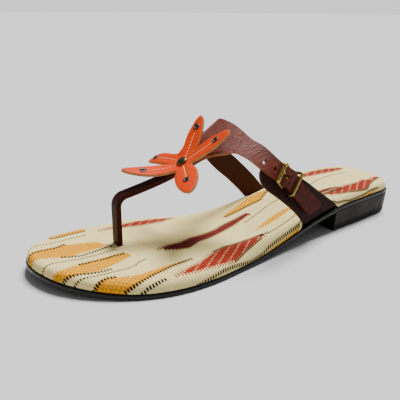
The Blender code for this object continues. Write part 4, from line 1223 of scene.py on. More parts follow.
# %% Pad and cover
PAD_SEGMENTS = 8
PAD_STRAPS = table(
    "side start end",
    (1, 0.326, 0.391),
    (-1, 0.265, 0.387),
)
PAD_DRAW_IN = 0.0023
PAD_HOLLOW = 0.0027
PAD_HOLLOW_REACH = 0.0120
PAD_DRAW_REACH = 0.0060
PAD_CUT = 0.0030
PLAN_STEP = 0.0022
POST_SLOT_SETOFF = 0.0013
POST_SLOT_LENGTH = 0.0034
POST_GAP = 0.0002


def strap_window(along, side, spread=0.0012):
    """1 where a strap passes this side of the pad, 0 elsewhere, with a soft change between them."""
    window = 0.0
    for row in PAD_STRAPS:
        if row.side == side:
            start, end = row.start * SOLE_LENGTH - spread, row.end * SOLE_LENGTH + spread
            window = max(window, smooth_step((along - start) / spread) * smooth_step((end - along) / spread))
    return window


def nearest_on_loop(points, loop):
    """For flat points: distance to a closed loop, the nearest place on it and the way in from there."""
    loop = np.array(loop)
    best = np.full(len(points), 1e9)
    places = np.zeros((len(points), 2))
    inward = np.zeros((len(points), 2))
    for start, end in zip(loop, np.roll(loop, -1, axis=0)):
        run = end - start
        t = np.clip(((points - start) @ run) / (run @ run), 0.0, 1.0)
        place = start + t[:, None] * run
        distance = np.hypot(*(points - place).T)
        closer = distance < best
        best[closer] = distance[closer]
        places[closer] = place[closer]
        inward[closer] = np.array((-run[1], run[0])) / np.linalg.norm(run)
    return best, places, inward


fine_plan = even_loop(smooth_line(PLAN_POINTS, 12, closed=True), PLAN_STEP)
pad_loop = [np.array(p) for p in offset_loop(fine_plan, -LEDGE)]
post_girths = [STEM[-1].inner * LAST_GIRTH, STEM[-1].outer * LAST_GIRTH]
post_across = [last_skin(POST_END - 0.002, girth).y + MIDDLE_ACROSS for girth in post_girths]
post_low, post_high = min(post_across) - POST_GAP, max(post_across) + POST_GAP
post_centre = (POST_ALONG + POST_SLOT_SETOFF, (post_low + post_high) / 2)
post_hole = long_hole(post_centre, (0, 1), post_high - post_low + 3 * POST_GAP, POST_SLOT_LENGTH, steps=4)
pad_cuts_along = regular_cuts(PAD_CUT, SOLE_LENGTH - PAD_CUT, PAD_CUT)
pad_cuts_across = regular_cuts(-0.045, 0.045, PAD_CUT)
bm = cut_flat(pad_loop, FOOTBED_THICKNESS, FOOTBED_EDGE_RADIUS, 0.0, pad_cuts_along, pad_cuts_across,
              [post_hole], segments=PAD_SEGMENTS)
print("pad corners before shaping:", len(bm.verts))


# %% [markdown]
# ### Shape the pad
#
# The flat pad is laid on the sole's line. Its middle is crowned by a soft 0.4 mm, and where a strap passes
# the rim is drawn in and the underside hollowed, so that the leather has room.

# %% Shape the pad
CROWN_START = 0.0040
CROWN_REACH = 0.0045
HOLLOW_FADE = 0.0020
ENDS_WITHOUT_STRAPS = (0.004, 0.240)
flat = np.array([tuple(v.co) for v in bm.verts])
rim, rim_places, rim_inward = nearest_on_loop(flat[:, :2], pad_loop)
unrolled = flat.copy()
for i, (vertex, (along, across, height)) in enumerate(zip(bm.verts, flat)):
    side = -1 if rim_places[i][1] < 0 else 1
    between = ENDS_WITHOUT_STRAPS[0] <= along <= ENDS_WITHOUT_STRAPS[1]
    window = strap_window(along, side) if between else 0.0
    depth = FOOTBED_THICKNESS - height
    if rim[i] < FOOTBED_EDGE_RADIUS:
        arc = FOOTBED_EDGE_RADIUS * math.asin(min(1.0, max(0.0, 1 - rim[i] / FOOTBED_EDGE_RADIUS)))
        arc += max(0.0, depth - FOOTBED_EDGE_RADIUS)
        unrolled[i][:2] = rim_places[i] + rim_inward[i] * (FOOTBED_EDGE_RADIUS - arc)
    unrolled[i][2] = rim[i]
    draw = PAD_DRAW_IN * window * math.exp(-rim[i] / PAD_DRAW_REACH)
    place = np.array((along, across)) + rim_inward[i] * draw
    hollow = PAD_HOLLOW * window * smooth_step((PAD_HOLLOW_REACH - rim[i]) / HOLLOW_FADE)
    crown = FOOTBED_CROWN * smooth_step((rim[i] - CROWN_START) / CROWN_REACH)
    share = height / FOOTBED_THICKNESS
    up = footbed_base(along) + hollow + (FOOTBED_THICKNESS - hollow + crown) * share
    vertex.co = world(place[0], place[1], up)
pad = finish_piece("padded_footbed", bm, unrolled)
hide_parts("footbed")


# %% [markdown]
# ## Materials
#
# One function turns a hex colour into the light values that the shader wants, and one adds a node with its
# inputs and settings. Each material starts from what the real one is and then says what that does to light.

# %% Colour and node helpers
BLEND = {"output": 2, "data_type": "RGBA"}


def colour(code):
    """A #RRGGBB colour as linear values."""
    shares = [int(code[i : i + 2], 16) / 255 for i in (1, 3, 5)]
    return (*[c / 12.92 if c <= 0.04045 else ((c + 0.055) / 1.055) ** 2.4 for c in shares], 1.0)


def plug(tree, socket, value):
    """Link the socket to another, or set it. A text such as #A0B0C0 is a colour."""
    if isinstance(value, bpy.types.NodeSocket):
        tree.links.new(value, socket)
    else:
        socket.default_value = colour(value) if isinstance(value, str) else value


def add(tree, kind, inputs, output=0, **settings):
    """Add a node, set or link its inputs, and give back one of its outputs."""
    node = tree.nodes.new(kind)
    for name, value in settings.items():
        setattr(node, name, value)
    for key, value in inputs.items():
        plug(tree, node.inputs[key], value)
    return node.outputs[output]


def new_material(name):
    """An empty material with a Principled shader, and its tree."""
    material = bpy.data.materials.new(name)
    material.use_nodes = True
    tree = material.node_tree
    return material, tree, tree.nodes["Principled BSDF"]


def feed(tree, shader, **inputs):
    """Set or link the shader's sockets; an underscore in a name stands for a space."""
    for key, value in inputs.items():
        plug(tree, shader.inputs[key.replace("_", " ")], value)


def dress(thing, *materials):
    """Give a piece its materials. The first is its skin, a second one the face that lies below."""
    slots = thing.data.materials
    for number, material in enumerate(materials):
        if number < len(slots):
            slots[number] = material
        else:
            slots.append(material)


print("mid grey #808080 is", round(colour("#808080")[0], 3), "of full light")


# %% [markdown]
# ### Brown strap leather
#
# Full-grain calf, dyed right through, oiled and polished. The polish is a thin clear layer, so highlights
# are small and bright, while pores and fine creases break them up. Most creases run across the strap,
# because it bends that way, and their troughs get painted shade. The cut edges look a shade lighter: partly
# worn polish, partly a painted highlight on the rounded rim. Handling leaves hair-fine, pale scratches.
# Low on the side and on the thong the colour is darkened with painted shade, and the shine is turned down.
# The flesh side is napped, so it scatters light and never shines.

# %% Brown leather
def leather(name, deep, middle, bright, edge, shadow, shine):
    """Polished leather, with painted shade and less shine low down on the side and along the thong."""
    material, tree, shader = new_material(name)
    place = add(tree, "ShaderNodeAttribute", {}, output=1, attribute_name="pattern")
    split = add(tree, "ShaderNodeSeparateXYZ", {0: place}).node
    tone = add(tree, "ShaderNodeTexNoise", {"Vector": place, "Scale": 0.16, "Detail": 4.0, "Roughness": 0.6})
    mottle = add(tree, "ShaderNodeTexNoise", {"Vector": place, "Scale": 0.9, "Detail": 4.0, "Roughness": 0.7})

    wrinkles = []
    for turn in (0.40, 0.85):
        turned_place = add(tree, "ShaderNodeMapping", {"Vector": place, "Rotation": (0, 0, turn),
                                                       "Scale": (0.20, 1.5, 0.1)})
        wrinkles.append(add(tree, "ShaderNodeTexNoise", {"Vector": turned_place, "Scale": 1.0, "Detail": 2.0}))
    net = add(tree, "ShaderNodeMath", {0: wrinkles[0], 1: wrinkles[1]}, operation="MINIMUM")
    pores = add(tree, "ShaderNodeTexNoise", {"Vector": place, "Scale": 2.6, "Detail": 4.0, "Roughness": 0.7})

    base = add(tree, "ShaderNodeMix", {0: tone, 6: deep, 7: middle}, **BLEND)
    lit = add(tree, "ShaderNodeMapRange", {0: mottle, 1: 0.50, 2: 0.70, 3: 0.0, 4: 0.6})
    base = add(tree, "ShaderNodeMix", {0: lit, 6: base, 7: bright}, **BLEND)
    # Painted shade in the fine creases of the grain.
    sunk = add(tree, "ShaderNodeMapRange", {0: net, 1: 0.34, 2: 0.46, 3: 0.75, 4: 0.0})
    base = add(tree, "ShaderNodeMix", {0: sunk, 6: base, 7: shadow}, **BLEND)
    # The rounded cut edge is lightened: partly worn polish, partly a painted highlight on the rim.
    worn = add(tree, "ShaderNodeMapRange", {0: split.outputs[2], 1: 0.15, 2: 0.42, 3: 0.5, 4: 0.0})
    base = add(tree, "ShaderNodeMix", {0: worn, 6: base, 7: edge}, **BLEND)

    scratches = None
    for turn, level in ((0.9, 0.665), (-0.5, 0.675)):
        turned_place = add(tree, "ShaderNodeMapping", {"Vector": place, "Rotation": (0, 0, turn),
                                                       "Scale": (0.09, 4.0, 0.1)})
        lines = add(tree, "ShaderNodeTexNoise", {"Vector": turned_place, "Scale": 1.0, "Detail": 1.0})
        lines = add(tree, "ShaderNodeMapRange", {0: lines, 1: level, 2: level + 0.03, 3: 0.0, 4: 0.5})
        scratches = lines if scratches is None else add(
            tree, "ShaderNodeMath", {0: scratches, 1: lines}, operation="MAXIMUM")
    base = add(tree, "ShaderNodeMix", {0: scratches, 6: base, 7: edge}, **BLEND)

    # Painted shade: the colour goes towards the shadow colour low on the side and along the thong.
    low = add(tree, "ShaderNodeMapRange", {0: split.outputs[1], 1: -42.0, 2: -62.0, 3: 0.0, 4: 0.62})
    base = add(tree, "ShaderNodeMix", {0: low, 6: base, 7: shadow}, **BLEND)
    thong = add(tree, "ShaderNodeMapRange", {0: split.outputs[0], 1: 142.0, 2: 170.0, 3: 0.0, 4: 0.85})
    base = add(tree, "ShaderNodeMix", {0: thong, 6: base, 7: shadow}, **BLEND)

    relief = add(tree, "ShaderNodeMath", {0: net, 1: 2.0, 2: pores}, operation="MULTIPLY_ADD")
    bump = add(tree, "ShaderNodeBump", {"Height": relief, "Strength": 0.8, "Distance": 0.00036})
    rough = add(tree, "ShaderNodeMapRange", {0: mottle, 1: 0.3, 2: 0.7, 3: 0.30, 4: 0.52})
    dulled = add(tree, "ShaderNodeMath", {0: low, 1: thong}, operation="MAXIMUM")
    polish = add(tree, "ShaderNodeMapRange", {0: dulled, 1: 0.0, 2: 0.6, 3: shine, 4: 0.0})
    gleam = add(tree, "ShaderNodeMapRange", {0: dulled, 1: 0.0, 2: 0.6, 3: 0.25, 4: 0.06})
    feed(tree, shader, Base_Color=base, Roughness=rough, Normal=bump, IOR=1.5, Specular_IOR_Level=gleam,
         Coat_Weight=polish, Coat_Roughness=0.26, Coat_Normal=bump)
    return material


def suede(name, dark, light):
    """The napped flesh side."""
    material, tree, shader = new_material(name)
    place = add(tree, "ShaderNodeTexCoord", {}, output=3)
    nap = add(tree, "ShaderNodeTexNoise", {"Vector": place, "Scale": 1800.0, "Detail": 4.0})
    base = add(tree, "ShaderNodeMix", {0: nap, 6: dark, 7: light}, **BLEND)
    bump = add(tree, "ShaderNodeBump", {"Height": nap, "Strength": 0.5, "Distance": 0.0001})
    feed(tree, shader, Base_Color=base, Roughness=0.92, Normal=bump, IOR=1.5, Specular_IOR_Level=0.2)
    return material


brown = leather("strap_leather", "#561208", "#862A18", "#A8563C", "#8C4A2C", "#1A0503", 0.26)
# The buckle strap is the same brown leather as the T, given darker colours as painted shade, for it lies under the T's
# end.
shaded_brown = leather("buckle_strap_leather", "#240904", "#401409", "#5A2214", "#5A2C18", "#160603", 0.02)
lining = suede("strap_lining", "#2E140C", "#4E2A1A")
dress(t_strap, brown, lining)
dress(buckle_strap, shaded_brown, lining)
print("each strap has", len(t_strap.data.materials), "finishes: grain side and flesh side")


# %% [markdown]
# ### Metals
#
# The buckle, prong and keeper are brass that has dulled: metal all through, so the colour is in the
# reflection, with brown oxide in patches. The stud is pewter, darker and rubbed.

# %% Brass and pewter
def metal(name, clean, tarnish, low, high, scale):
    """Metal with patches of tarnish, and roughness from low where clean to high where tarnished."""
    material, tree, shader = new_material(name)
    place = add(tree, "ShaderNodeTexCoord", {}, output=3)
    patch = add(tree, "ShaderNodeTexNoise", {"Vector": place, "Scale": scale, "Detail": 5.0, "Roughness": 0.65})
    share = add(tree, "ShaderNodeMapRange", {0: patch, 1: 0.42, 2: 0.66, 3: 0.0, 4: 1.0})
    base = add(tree, "ShaderNodeMix", {0: share, 6: clean, 7: tarnish}, **BLEND)
    rough = add(tree, "ShaderNodeMapRange", {0: share, 1: 0.0, 2: 1.0, 3: low, 4: high})
    scuff = add(tree, "ShaderNodeTexNoise", {"Vector": place, "Scale": scale * 6, "Detail": 3.0})
    bump = add(tree, "ShaderNodeBump", {"Height": scuff, "Strength": 0.25, "Distance": 0.00005})
    feed(tree, shader, Base_Color=base, Metallic=1.0, Roughness=rough, Normal=bump)
    return material


brass = metal("aged_brass", "#BCA652", "#564824", 0.24, 0.48, 420.0)
pewter = metal("rubbed_pewter", "#6C5E40", "#332C20", 0.26, 0.50, 700.0)
for thing in (buckle, prong, keeper):
    dress(thing, brass)
dress(stud, pewter)
print("brass on", buckle.name, prong.name, keeper.name, "and pewter on", stud.name)


# %% [markdown]
# ### Black paint
#
# The eyelets are painted black, as most shoe eyelets are. Paint is a thin, smooth film, so it shines a
# little, and it has worn greyish in specks.

# %% Painted eyelets
black_paint, tree, shader = new_material("black_paint")
place = add(tree, "ShaderNodeTexCoord", {}, output=3)
worn = add(tree, "ShaderNodeTexNoise", {"Vector": place, "Scale": 1500.0, "Detail": 3.0})
base = add(tree, "ShaderNodeMix", {0: worn, 6: "#0E0C0B", 7: "#3A342E"}, **BLEND)
rough = add(tree, "ShaderNodeMapRange", {0: worn, 1: 0.3, 2: 0.7, 3: 0.25, 4: 0.5})
feed(tree, shader, Base_Color=base, Roughness=rough, IOR=1.5, Coat_Weight=0.4, Coat_Roughness=0.2)
for eyelet in eyelets:
    dress(eyelet, black_paint)
print("black paint on", len(eyelets), "eyelets")


# %% [markdown]
# ### Orange leather and thread
#
# The star is vegetable-tanned leather with a strong orange dye and a light wax. The dye doesn't reach the
# middle, so the cut edge is pale tan, and where the face is creased the wax catches the light.

# %% Star leather
star_leather, tree, shader = new_material("orange_leather")
place = add(tree, "ShaderNodeAttribute", {}, output=1, attribute_name="pattern")
split = add(tree, "ShaderNodeSeparateXYZ", {0: place}).node
tone = add(tree, "ShaderNodeTexNoise", {"Vector": place, "Scale": 0.35, "Detail": 5.0, "Roughness": 0.6})
base = add(tree, "ShaderNodeMix", {0: tone, 6: "#C42E00", 7: "#F04600"}, **BLEND)
cut_edge = add(tree, "ShaderNodeMapRange", {0: split.outputs[2], 1: 0.10, 2: 0.17, 3: 1.0, 4: 0.0})
speckle = add(tree, "ShaderNodeTexNoise", {"Vector": place, "Scale": 1.6, "Detail": 2.0})
tan = add(tree, "ShaderNodeMix", {0: speckle, 6: "#8A4218", 7: "#E0A064"}, **BLEND)
base = add(tree, "ShaderNodeMix", {0: cut_edge, 6: base, 7: tan}, **BLEND)
pores = add(tree, "ShaderNodeTexVoronoi", {"Vector": place, "Scale": 2.0}, feature="DISTANCE_TO_EDGE")
pores = add(tree, "ShaderNodeMapRange", {0: pores, 1: 0.0, 2: 0.15, 3: 0.0, 4: 1.0})
fine = add(tree, "ShaderNodeTexNoise", {"Vector": place, "Scale": 3.0, "Detail": 4.0, "Roughness": 0.7})
relief = add(tree, "ShaderNodeMath", {0: pores, 1: fine}, operation="ADD")
bump = add(tree, "ShaderNodeBump", {"Height": relief, "Strength": 0.35, "Distance": 0.00010})
wavy = add(tree, "ShaderNodeBump", {"Height": tone, "Strength": 0.5, "Distance": 0.0005, "Normal": bump})
rough = add(tree, "ShaderNodeMapRange", {0: tone, 1: 0.3, 2: 0.7, 3: 0.34, 4: 0.52})
feed(tree, shader, Base_Color=base, Roughness=rough, Normal=wavy, IOR=1.5, Specular_IOR_Level=0.08)
dress(starfish, star_leather, suede("star_flesh", "#9A5A30", "#C88A58"))
print("the star has", len(starfish.data.materials), "finishes")


# %% [markdown]
# ### Thread
#
# The thread is waxed linen: matt, a little fuzzy at its edge, with a fine twist.

# %% Thread
thread, tree, shader = new_material("waxed_thread")
place = add(tree, "ShaderNodeTexCoord", {}, output=3)
twist = add(tree, "ShaderNodeTexNoise", {"Vector": place, "Scale": 2500.0, "Detail": 2.0})
base = add(tree, "ShaderNodeMix", {0: twist, 6: "#E8B070", 7: "#FFE2B8"}, **BLEND)
bump = add(tree, "ShaderNodeBump", {"Height": twist, "Strength": 0.5, "Distance": 0.0001})
feed(tree, shader, Base_Color=base, Roughness=0.6, Normal=bump, IOR=1.5, Sheen_Weight=0.2)
dress(stitches, thread)
print("pale thread on", stitches.name)


# %% [markdown]
# ### Sole, heel and top piece
#
# The outsole is leather with a blackened, waxed and burnished edge: dark, with a soft shine on its rounded
# ledge. The heel is a stack of leather lifts, blackened in the same way. The top piece that meets the
# floor is hard rubber, a little scuffed.

# %% Sole and heel
def burnished(name, dark, light, low, high, layers, shine):
    """A black edge finish with faint level lines, layers to a metre, and a wax coat as strong as shine."""
    material, tree, shader = new_material(name)
    place = add(tree, "ShaderNodeTexCoord", {}, output=3)
    tone = add(tree, "ShaderNodeTexNoise", {"Vector": place, "Scale": 160.0, "Detail": 5.0, "Roughness": 0.6})
    base = add(tree, "ShaderNodeMix", {0: tone, 6: dark, 7: light}, **BLEND)
    squashed = add(tree, "ShaderNodeMapping", {"Vector": place, "Scale": (0.06, 0.06, 1.0)})
    lines = add(tree, "ShaderNodeTexNoise", {"Vector": squashed, "Scale": layers, "Detail": 2.0})
    grain = add(tree, "ShaderNodeTexNoise", {"Vector": place, "Scale": 1600.0, "Detail": 3.0})
    relief = add(tree, "ShaderNodeMath", {0: lines, 1: grain}, operation="ADD")
    bump = add(tree, "ShaderNodeBump", {"Height": relief, "Strength": 0.3, "Distance": 0.00012})
    rough = add(tree, "ShaderNodeMapRange", {0: tone, 1: 0.3, 2: 0.7, 3: low, 4: high})
    feed(tree, shader, Base_Color=base, Roughness=rough, Normal=bump, IOR=1.5, Specular_IOR_Level=0.12,
         Coat_Weight=shine, Coat_Roughness=0.18)
    return material


sole_black = burnished("burnished_sole", "#040403", "#0C0B08", 0.20, 0.36, 900.0, 0.22)
heel_black = burnished("burnished_heel", "#0E0C04", "#221E0A", 0.40, 0.60, 1100.0, 0.03)
rubber = burnished("top_piece_rubber", "#100F0D", "#24221E", 0.50, 0.70, 500.0, 0.0)
for node, material in (("outsole", sole_black), ("heel_block", heel_black), ("heel_lift", rubber)):
    dress(bpy.data.objects[node], material)
    print(node, "wears", material.name)


# %% [markdown]
# ### The woven cover
#
# The cloth is a flat cotton weave in cream, with long leaves of gold and brick red, fine dark lines beside
# them, and rows of short dark dashes where a dark thread floats over a few crossing ones. The crossing
# threads run straight over the shoe, so every slanting edge goes down in small steps, like a comb.
#
# A curve node holds one line of a figure: how far across it lies, for each place along the shoe. A leaf is
# what lies between two such curves. The lines are in mm: along the shoe from the heel, and across it with
# the outer side negative.

# %% The leaves
GOLD_LEAVES = {
    "toe": (
        [(202, 12.9), (205, 18.7), (210, 20.2), (215, 20.8), (219, 21.1), (223, 22.1), (227, 19.5), (231, 18.6),
         (235, 17.6), (239, 17.2), (242, 15.9), (250, 13.0)],
        [(202, 11.7), (208, 10.3), (213, 9.3), (218, 8.6), (223, 6.3), (229, 6.5), (235, 7.0), (242, 8.4), (250, 9)],
    ),
    "middle": (
        [(198, -3.0), (205, -2.6), (213, -3.9), (217, -4.1), (224, -5.2), (227, -5.4), (232, -7.3), (239, -8.0),
         (246, -9.0)],
        [(198, -8.0), (205, -11.0), (210, -12.5), (215, -14.8), (219, -15.7), (225, -15.0), (233, -13.9),
         (241, -12.4), (246, -11.0)],
    ),
    "outer": (
        [(176, -27.8), (189, -27.5), (196, -27.9), (203, -28.4), (211, -26.3), (215, -24.8), (218, -24.1),
         (225, -26.2), (229, -28.0)],
        [(176, -28.2), (184, -28.7), (190, -30.5), (196, -31.7), (201, -33.0), (206, -34.4), (214, -35.5),
         (218, -38.0), (229, -42.0)],
    ),
    "inner edge": (
        [(205, 48.0), (226, 48.0)],
        [(205, 37.6), (207, 36.6), (214, 35.9), (218, 34.8), (222, 33.4), (226, 33.3)],
    ),
    "arch": (
        [(91, -15.2), (92, -14.6), (96, -14.1), (103, -14.7), (110, -16.2), (117, -18.3), (122, -20.5)],
        [(91, -17.2), (99, -18.5), (105, -19.8), (111, -20.3), (117, -20.8), (122, -20.7)],
    ),
    "under the stem": (
        [(84, 15.5), (89, 18.7), (101, 15.8), (114, 11.4), (123, 9.2), (125, 7.2)],
        [(84, 14.5), (90, 10.8), (96, 7.4), (105, 7.7), (114, 6.9), (124, 6.6)],
    ),
    "outer edge": (
        [(99, -34.6), (106, -35.8), (112, -37.0), (121, -38.8), (126, -40.4), (130, -42.4), (138, -44.6)],
        [(99, -49.0), (138, -49.0)],
    ),
    "heel edge": (
        [(22, -27.2), (30, -28.6), (38, -31.0), (48, -32.2), (56, -32.0)],
        [(22, -28.0), (30, -30.6), (38, -32.8), (48, -33.4), (56, -32.4)],
    ),
}
RED_LEAVES = {
    "outer": (
        [(124, -26.8), (130, -26.4), (136, -25.9), (143, -25.7), (148, -25.2), (156, -27.0), (163, -30.2),
         (171, -33.6), (177, -34.9), (182, -36.4), (187, -38.4)],
        [(124, -28.8), (126, -29.9), (133, -32.2), (139, -34.6), (146, -37.7), (151, -40.1), (157, -40.3),
         (164, -40.5), (171, -40.3), (178, -40.1), (183, -39.3), (187, -38.6)],
    ),
    "heel": (
        [(8, -14.1), (12, -13.7), (18, -15.9), (22, -13.6), (30, -15.4), (41, -15.7), (50, -15.9), (63, -19.1)],
        [(8, -15.7), (16, -18.2), (25, -21.9), (30, -25.1), (35, -25.6), (42, -25.5), (48, -24.9), (56, -23.8),
         (62, -22.1), (63, -19.9)],
    ),
    "inner heel": (
        [(14, 15.0), (24, 18.5), (38, 19.5), (52, 17.0), (66, 13.0)],
        [(14, 11.0), (24, 10.5), (38, 11.5), (52, 12.0), (66, 12.6)],
    ),
    "inner ball": (
        [(150, 27.0), (160, 31.5), (172, 34.0), (184, 34.5), (196, 33.0)],
        [(150, 26.0), (160, 25.0), (172, 26.5), (184, 29.5), (196, 32.5)],
    ),
}
MAROON_LEAVES = {
    "middle": (
        [(113, 1.0), (123, -0.1), (132, -0.9), (140, -3.2), (150, -4.6), (158, -4.7), (166, -7.2), (174, -6.4),
         (179, -7.4)],
        [(113, -2.6), (128, -6.5), (141, -9.4), (151, -11.5), (156, -11.8), (165, -15.8), (171, -14.4),
         (177, -11.1), (179, -7.6)],
    ),
    "heel middle": (
        [(48, -14.2), (58, -12.5), (70, -11.5), (84, -12.5)],
        [(48, -15.0), (58, -16.5), (70, -16.0), (84, -13.2)],
    ),
}
print(len(GOLD_LEAVES), "gold leaves and", len(RED_LEAVES) + len(MAROON_LEAVES), "red ones")


# %% [markdown]
# ### Lines beside the leaves
#
# Three kinds of line go with the leaves: fine dark hairlines, softer olive ones, and rows of short dashes.
# They are written like the leaves' edges, in mm along the shoe and across it.

# %% The lines
HAIRLINES = [
    [(209, 30.6), (217, 29.3), (221, 28.2), (227, 26.9), (231, 25.9), (235, 26.0), (240, 23.5)],
    [(202, 4.1), (206, 3.8), (212, 2.9), (217, 2.0), (222, 1.3), (227, 1.2), (232, 0.7), (237, 0.7), (239, -0.2),
     (244, -1.3)],
    [(193, -15.0), (196, -15.8), (200, -18.4), (204, -19.4), (209, -19.5), (213, -19.6), (218, -20.0), (223, -19.7),
     (227, -19.2), (230, -18.7), (235, -19.4)],
    [(94, -24.4), (103, -26.2), (110, -27.3), (117, -28.1), (120, -27.6)],
    [(49, -19.4), (56, -18.5), (63, -17.6)],
    [(60, 2.0), (80, 0.0), (100, -3.0), (120, -8.5)],
    [(20, 4.0), (34, 5.0), (48, 3.0), (60, -1.0)],
]
OLIVE_LINES = [
    [(8, -15.9), (16, -18.4), (25, -22.1), (30, -25.3), (35, -25.8), (42, -25.7), (48, -25.1), (56, -24.0)],
    [(126, -30.1), (133, -32.4), (139, -34.8), (146, -37.9), (151, -40.3)],
    [(124, -26.6), (130, -26.2), (136, -25.7), (143, -25.5), (148, -25.0), (156, -26.8)],
    [(20, -25.9), (28, -26.9), (36, -29.2), (50, -31.0), (57, -30.0), (64, -30.0)],
    [(49, -19.4), (56, -18.5), (63, -17.6)],
    [(50, -15.9), (57, -17.2), (63, -19.1)],
]
DASHED_LINES = [
    [(202, 9.9), (207, 8.5), (211, 7.3), (215, 6.3), (219, 4.9), (222, 5.1), (226, 5.3), (228, 6.3)],
    [(213, -16.2), (217, -16.9), (220, -16.9), (224, -16.3), (227, -15.4), (231, -14.7), (234, -14.0),
     (239, -14.2)],
    [(195, -38.4), (197, -38.7), (201, -39.0), (204, -39.3), (206, -40.2)],
    [(99, -33.0), (106, -33.9), (112, -35.0), (121, -36.6), (126, -38.0), (130, -40.2), (140, -42.5),
     (147, -42.8), (154, -43.0), (161, -43.9), (167, -45.6), (178, -48.0)],
    [(207, 36.6), (214, 35.9), (218, 34.8), (222, 33.4), (226, 33.3)],
    [(223, 22.3), (227, 19.8), (231, 18.9), (235, 17.9), (239, 17.5), (242, 16.2), (246, 14.6)],
    [(200, -2.4), (205, -2.5), (210, -3.6), (217, -4.0), (224, -5.1)],
    [(172, -27.8), (184, -28.9), (190, -30.7), (196, -31.9), (201, -33.2), (206, -34.6), (214, -35.7)],
    [(215, -24.6), (218, -23.9), (225, -26.0), (229, -27.8)],
    [(84, 14.3), (96, 7.2), (105, 7.5), (114, 6.7), (124, 6.4)],
    [(120, -27.6), (124, -27.3)],
]
print(len(HAIRLINES), "hairlines,", len(OLIVE_LINES), "olive lines,", len(DASHED_LINES), "rows of dashes")


# %% [markdown]
# ### From lines to figures
#
# Each curve is drawn only over its own stretch and drops off the cover at both ends, so nothing is drawn
# past a leaf's tips. A real weft is about 0.8 mm apart. Here it is 1.7 mm, coarser than the real one, so
# that the woven steps and the dashes still show in a small picture.

# %% Curves, leaves and lines
HALF_COVER = 50.0
WEFT_PITCH = 1.7
END_MARGIN = 0.5


def line_curve(tree, along, points, span=None):
    """A curve node that gives how far across a line lies, as a share; beyond its ends it's off the cover."""
    start, end = span or (points[0][0], points[-1][0])
    start = math.floor(start / WEFT_PITCH) * WEFT_PITCH - END_MARGIN
    end = math.ceil(end / WEFT_PITCH) * WEFT_PITCH + END_MARGIN
    share = add(tree, "ShaderNodeMapRange", {0: along, 1: start, 2: end, 3: 0.0, 4: 1.0})
    node = add(tree, "ShaderNodeFloatCurve", {"Factor": 1.0, "Value": share}).node
    curve = node.mapping.curves[0]
    margin = 0.3 / (end - start)
    spots = [((x - start) / (end - start), (y + HALF_COVER) / (2 * HALF_COVER)) for x, y in points]
    spots = [(margin, spots[0][1])] + [s for s in spots if margin < s[0] < 1 - margin] + [(1 - margin, spots[-1][1])]
    curve.points[0].location = (0.0, 0.0)
    curve.points[1].location = (1.0, 0.0)
    for spot in spots:
        curve.points.new(*spot)
    for point in curve.points:
        point.handle_type = "VECTOR"
    node.mapping.update()
    return node.outputs[0]


def leaf_inside(tree, along, across, leaves, ragged):
    """How many mm a place lies inside the nearest of some leaves; negative outside."""
    inside = None
    for upper, lower in leaves.values():
        span = (min(upper[0][0], lower[0][0]), max(upper[-1][0], lower[-1][0]))
        top = line_curve(tree, along, upper, span)
        over = add(tree, "ShaderNodeMath", {0: top, 1: across}, operation="SUBTRACT")
        under = add(tree, "ShaderNodeMath", {0: across, 1: line_curve(tree, along, lower, span)},
                    operation="SUBTRACT")
        both = add(tree, "ShaderNodeMath", {0: over, 1: under}, operation="MINIMUM")
        inside = both if inside is None else add(tree, "ShaderNodeMath", {0: inside, 1: both}, operation="MAXIMUM")
    scaled = add(tree, "ShaderNodeMath", {0: inside, 1: 2 * HALF_COVER}, operation="MULTIPLY")
    return add(tree, "ShaderNodeMath", {0: scaled, 1: ragged}, operation="ADD")


def line_near(tree, along, across, lines, width):
    """1 on the nearest of some lines, falling to 0 past its edge."""
    nearest = None
    for points in lines:
        gap = add(tree, "ShaderNodeMath", {0: across, 1: line_curve(tree, along, points)}, operation="SUBTRACT")
        gap = add(tree, "ShaderNodeMath", {0: gap}, operation="ABSOLUTE")
        nearest = gap if nearest is None else add(tree, "ShaderNodeMath", {0: nearest, 1: gap}, operation="MINIMUM")
    edge = width / 2 / (2 * HALF_COVER)
    return add(tree, "ShaderNodeMapRange", {0: nearest, 1: edge * 0.7, 2: edge * 1.3, 3: 1.0, 4: 0.0})


print("the cover has a thread step every", WEFT_PITCH, "mm")


# %% [markdown]
# ### Threads of the weave
#
# The place along the shoe is snapped to whole threads, which makes the woven steps. Two stretched noises
# stand for threads that are a little thicker or paler than their neighbours, one for each way.

# %% Threads of the weave
cover, tree, shader = new_material("woven_cover")
place = add(tree, "ShaderNodeAttribute", {}, output=1, attribute_name="pattern")
split = add(tree, "ShaderNodeSeparateXYZ", {0: place}).node
along_mm, across_mm = split.outputs[0], split.outputs[1]
across = add(tree, "ShaderNodeMapRange", {0: across_mm, 1: -HALF_COVER, 2: HALF_COVER, 3: 0.0, 4: 1.0}, clamp=False)
row_mm = add(tree, "ShaderNodeMath", {0: along_mm, 1: WEFT_PITCH}, operation="SNAP")
row = add(tree, "ShaderNodeMath", {0: along_mm, 1: WEFT_PITCH}, operation="FLOORED_MODULO")
thread_side = add(tree, "ShaderNodeMapRange", {0: row, 1: WEFT_PITCH * 0.42, 2: WEFT_PITCH * 0.58, 3: -1.0, 4: 1.0})
dash = add(tree, "ShaderNodeMapRange", {0: row, 1: WEFT_PITCH * 0.58, 2: WEFT_PITCH * 0.70, 3: 1.0, 4: 0.0})
threads = add(tree, "ShaderNodeMapping", {"Vector": place, "Scale": (2.2, 0.35, 0.0)})
weft = add(tree, "ShaderNodeTexNoise", {"Vector": threads, "Scale": 1.0, "Detail": 3.0, "Roughness": 0.6})
lengthwise = add(tree, "ShaderNodeMapping", {"Vector": place, "Scale": (0.3, 2.6, 0.0)})
warp = add(tree, "ShaderNodeTexNoise", {"Vector": lengthwise, "Scale": 1.0, "Detail": 3.0, "Roughness": 0.6})
cloud = add(tree, "ShaderNodeTexNoise", {"Vector": place, "Scale": 0.09, "Detail": 3.0})

print("thread steps on the cover:", round(SOLE_LENGTH * 1000 / WEFT_PITCH))
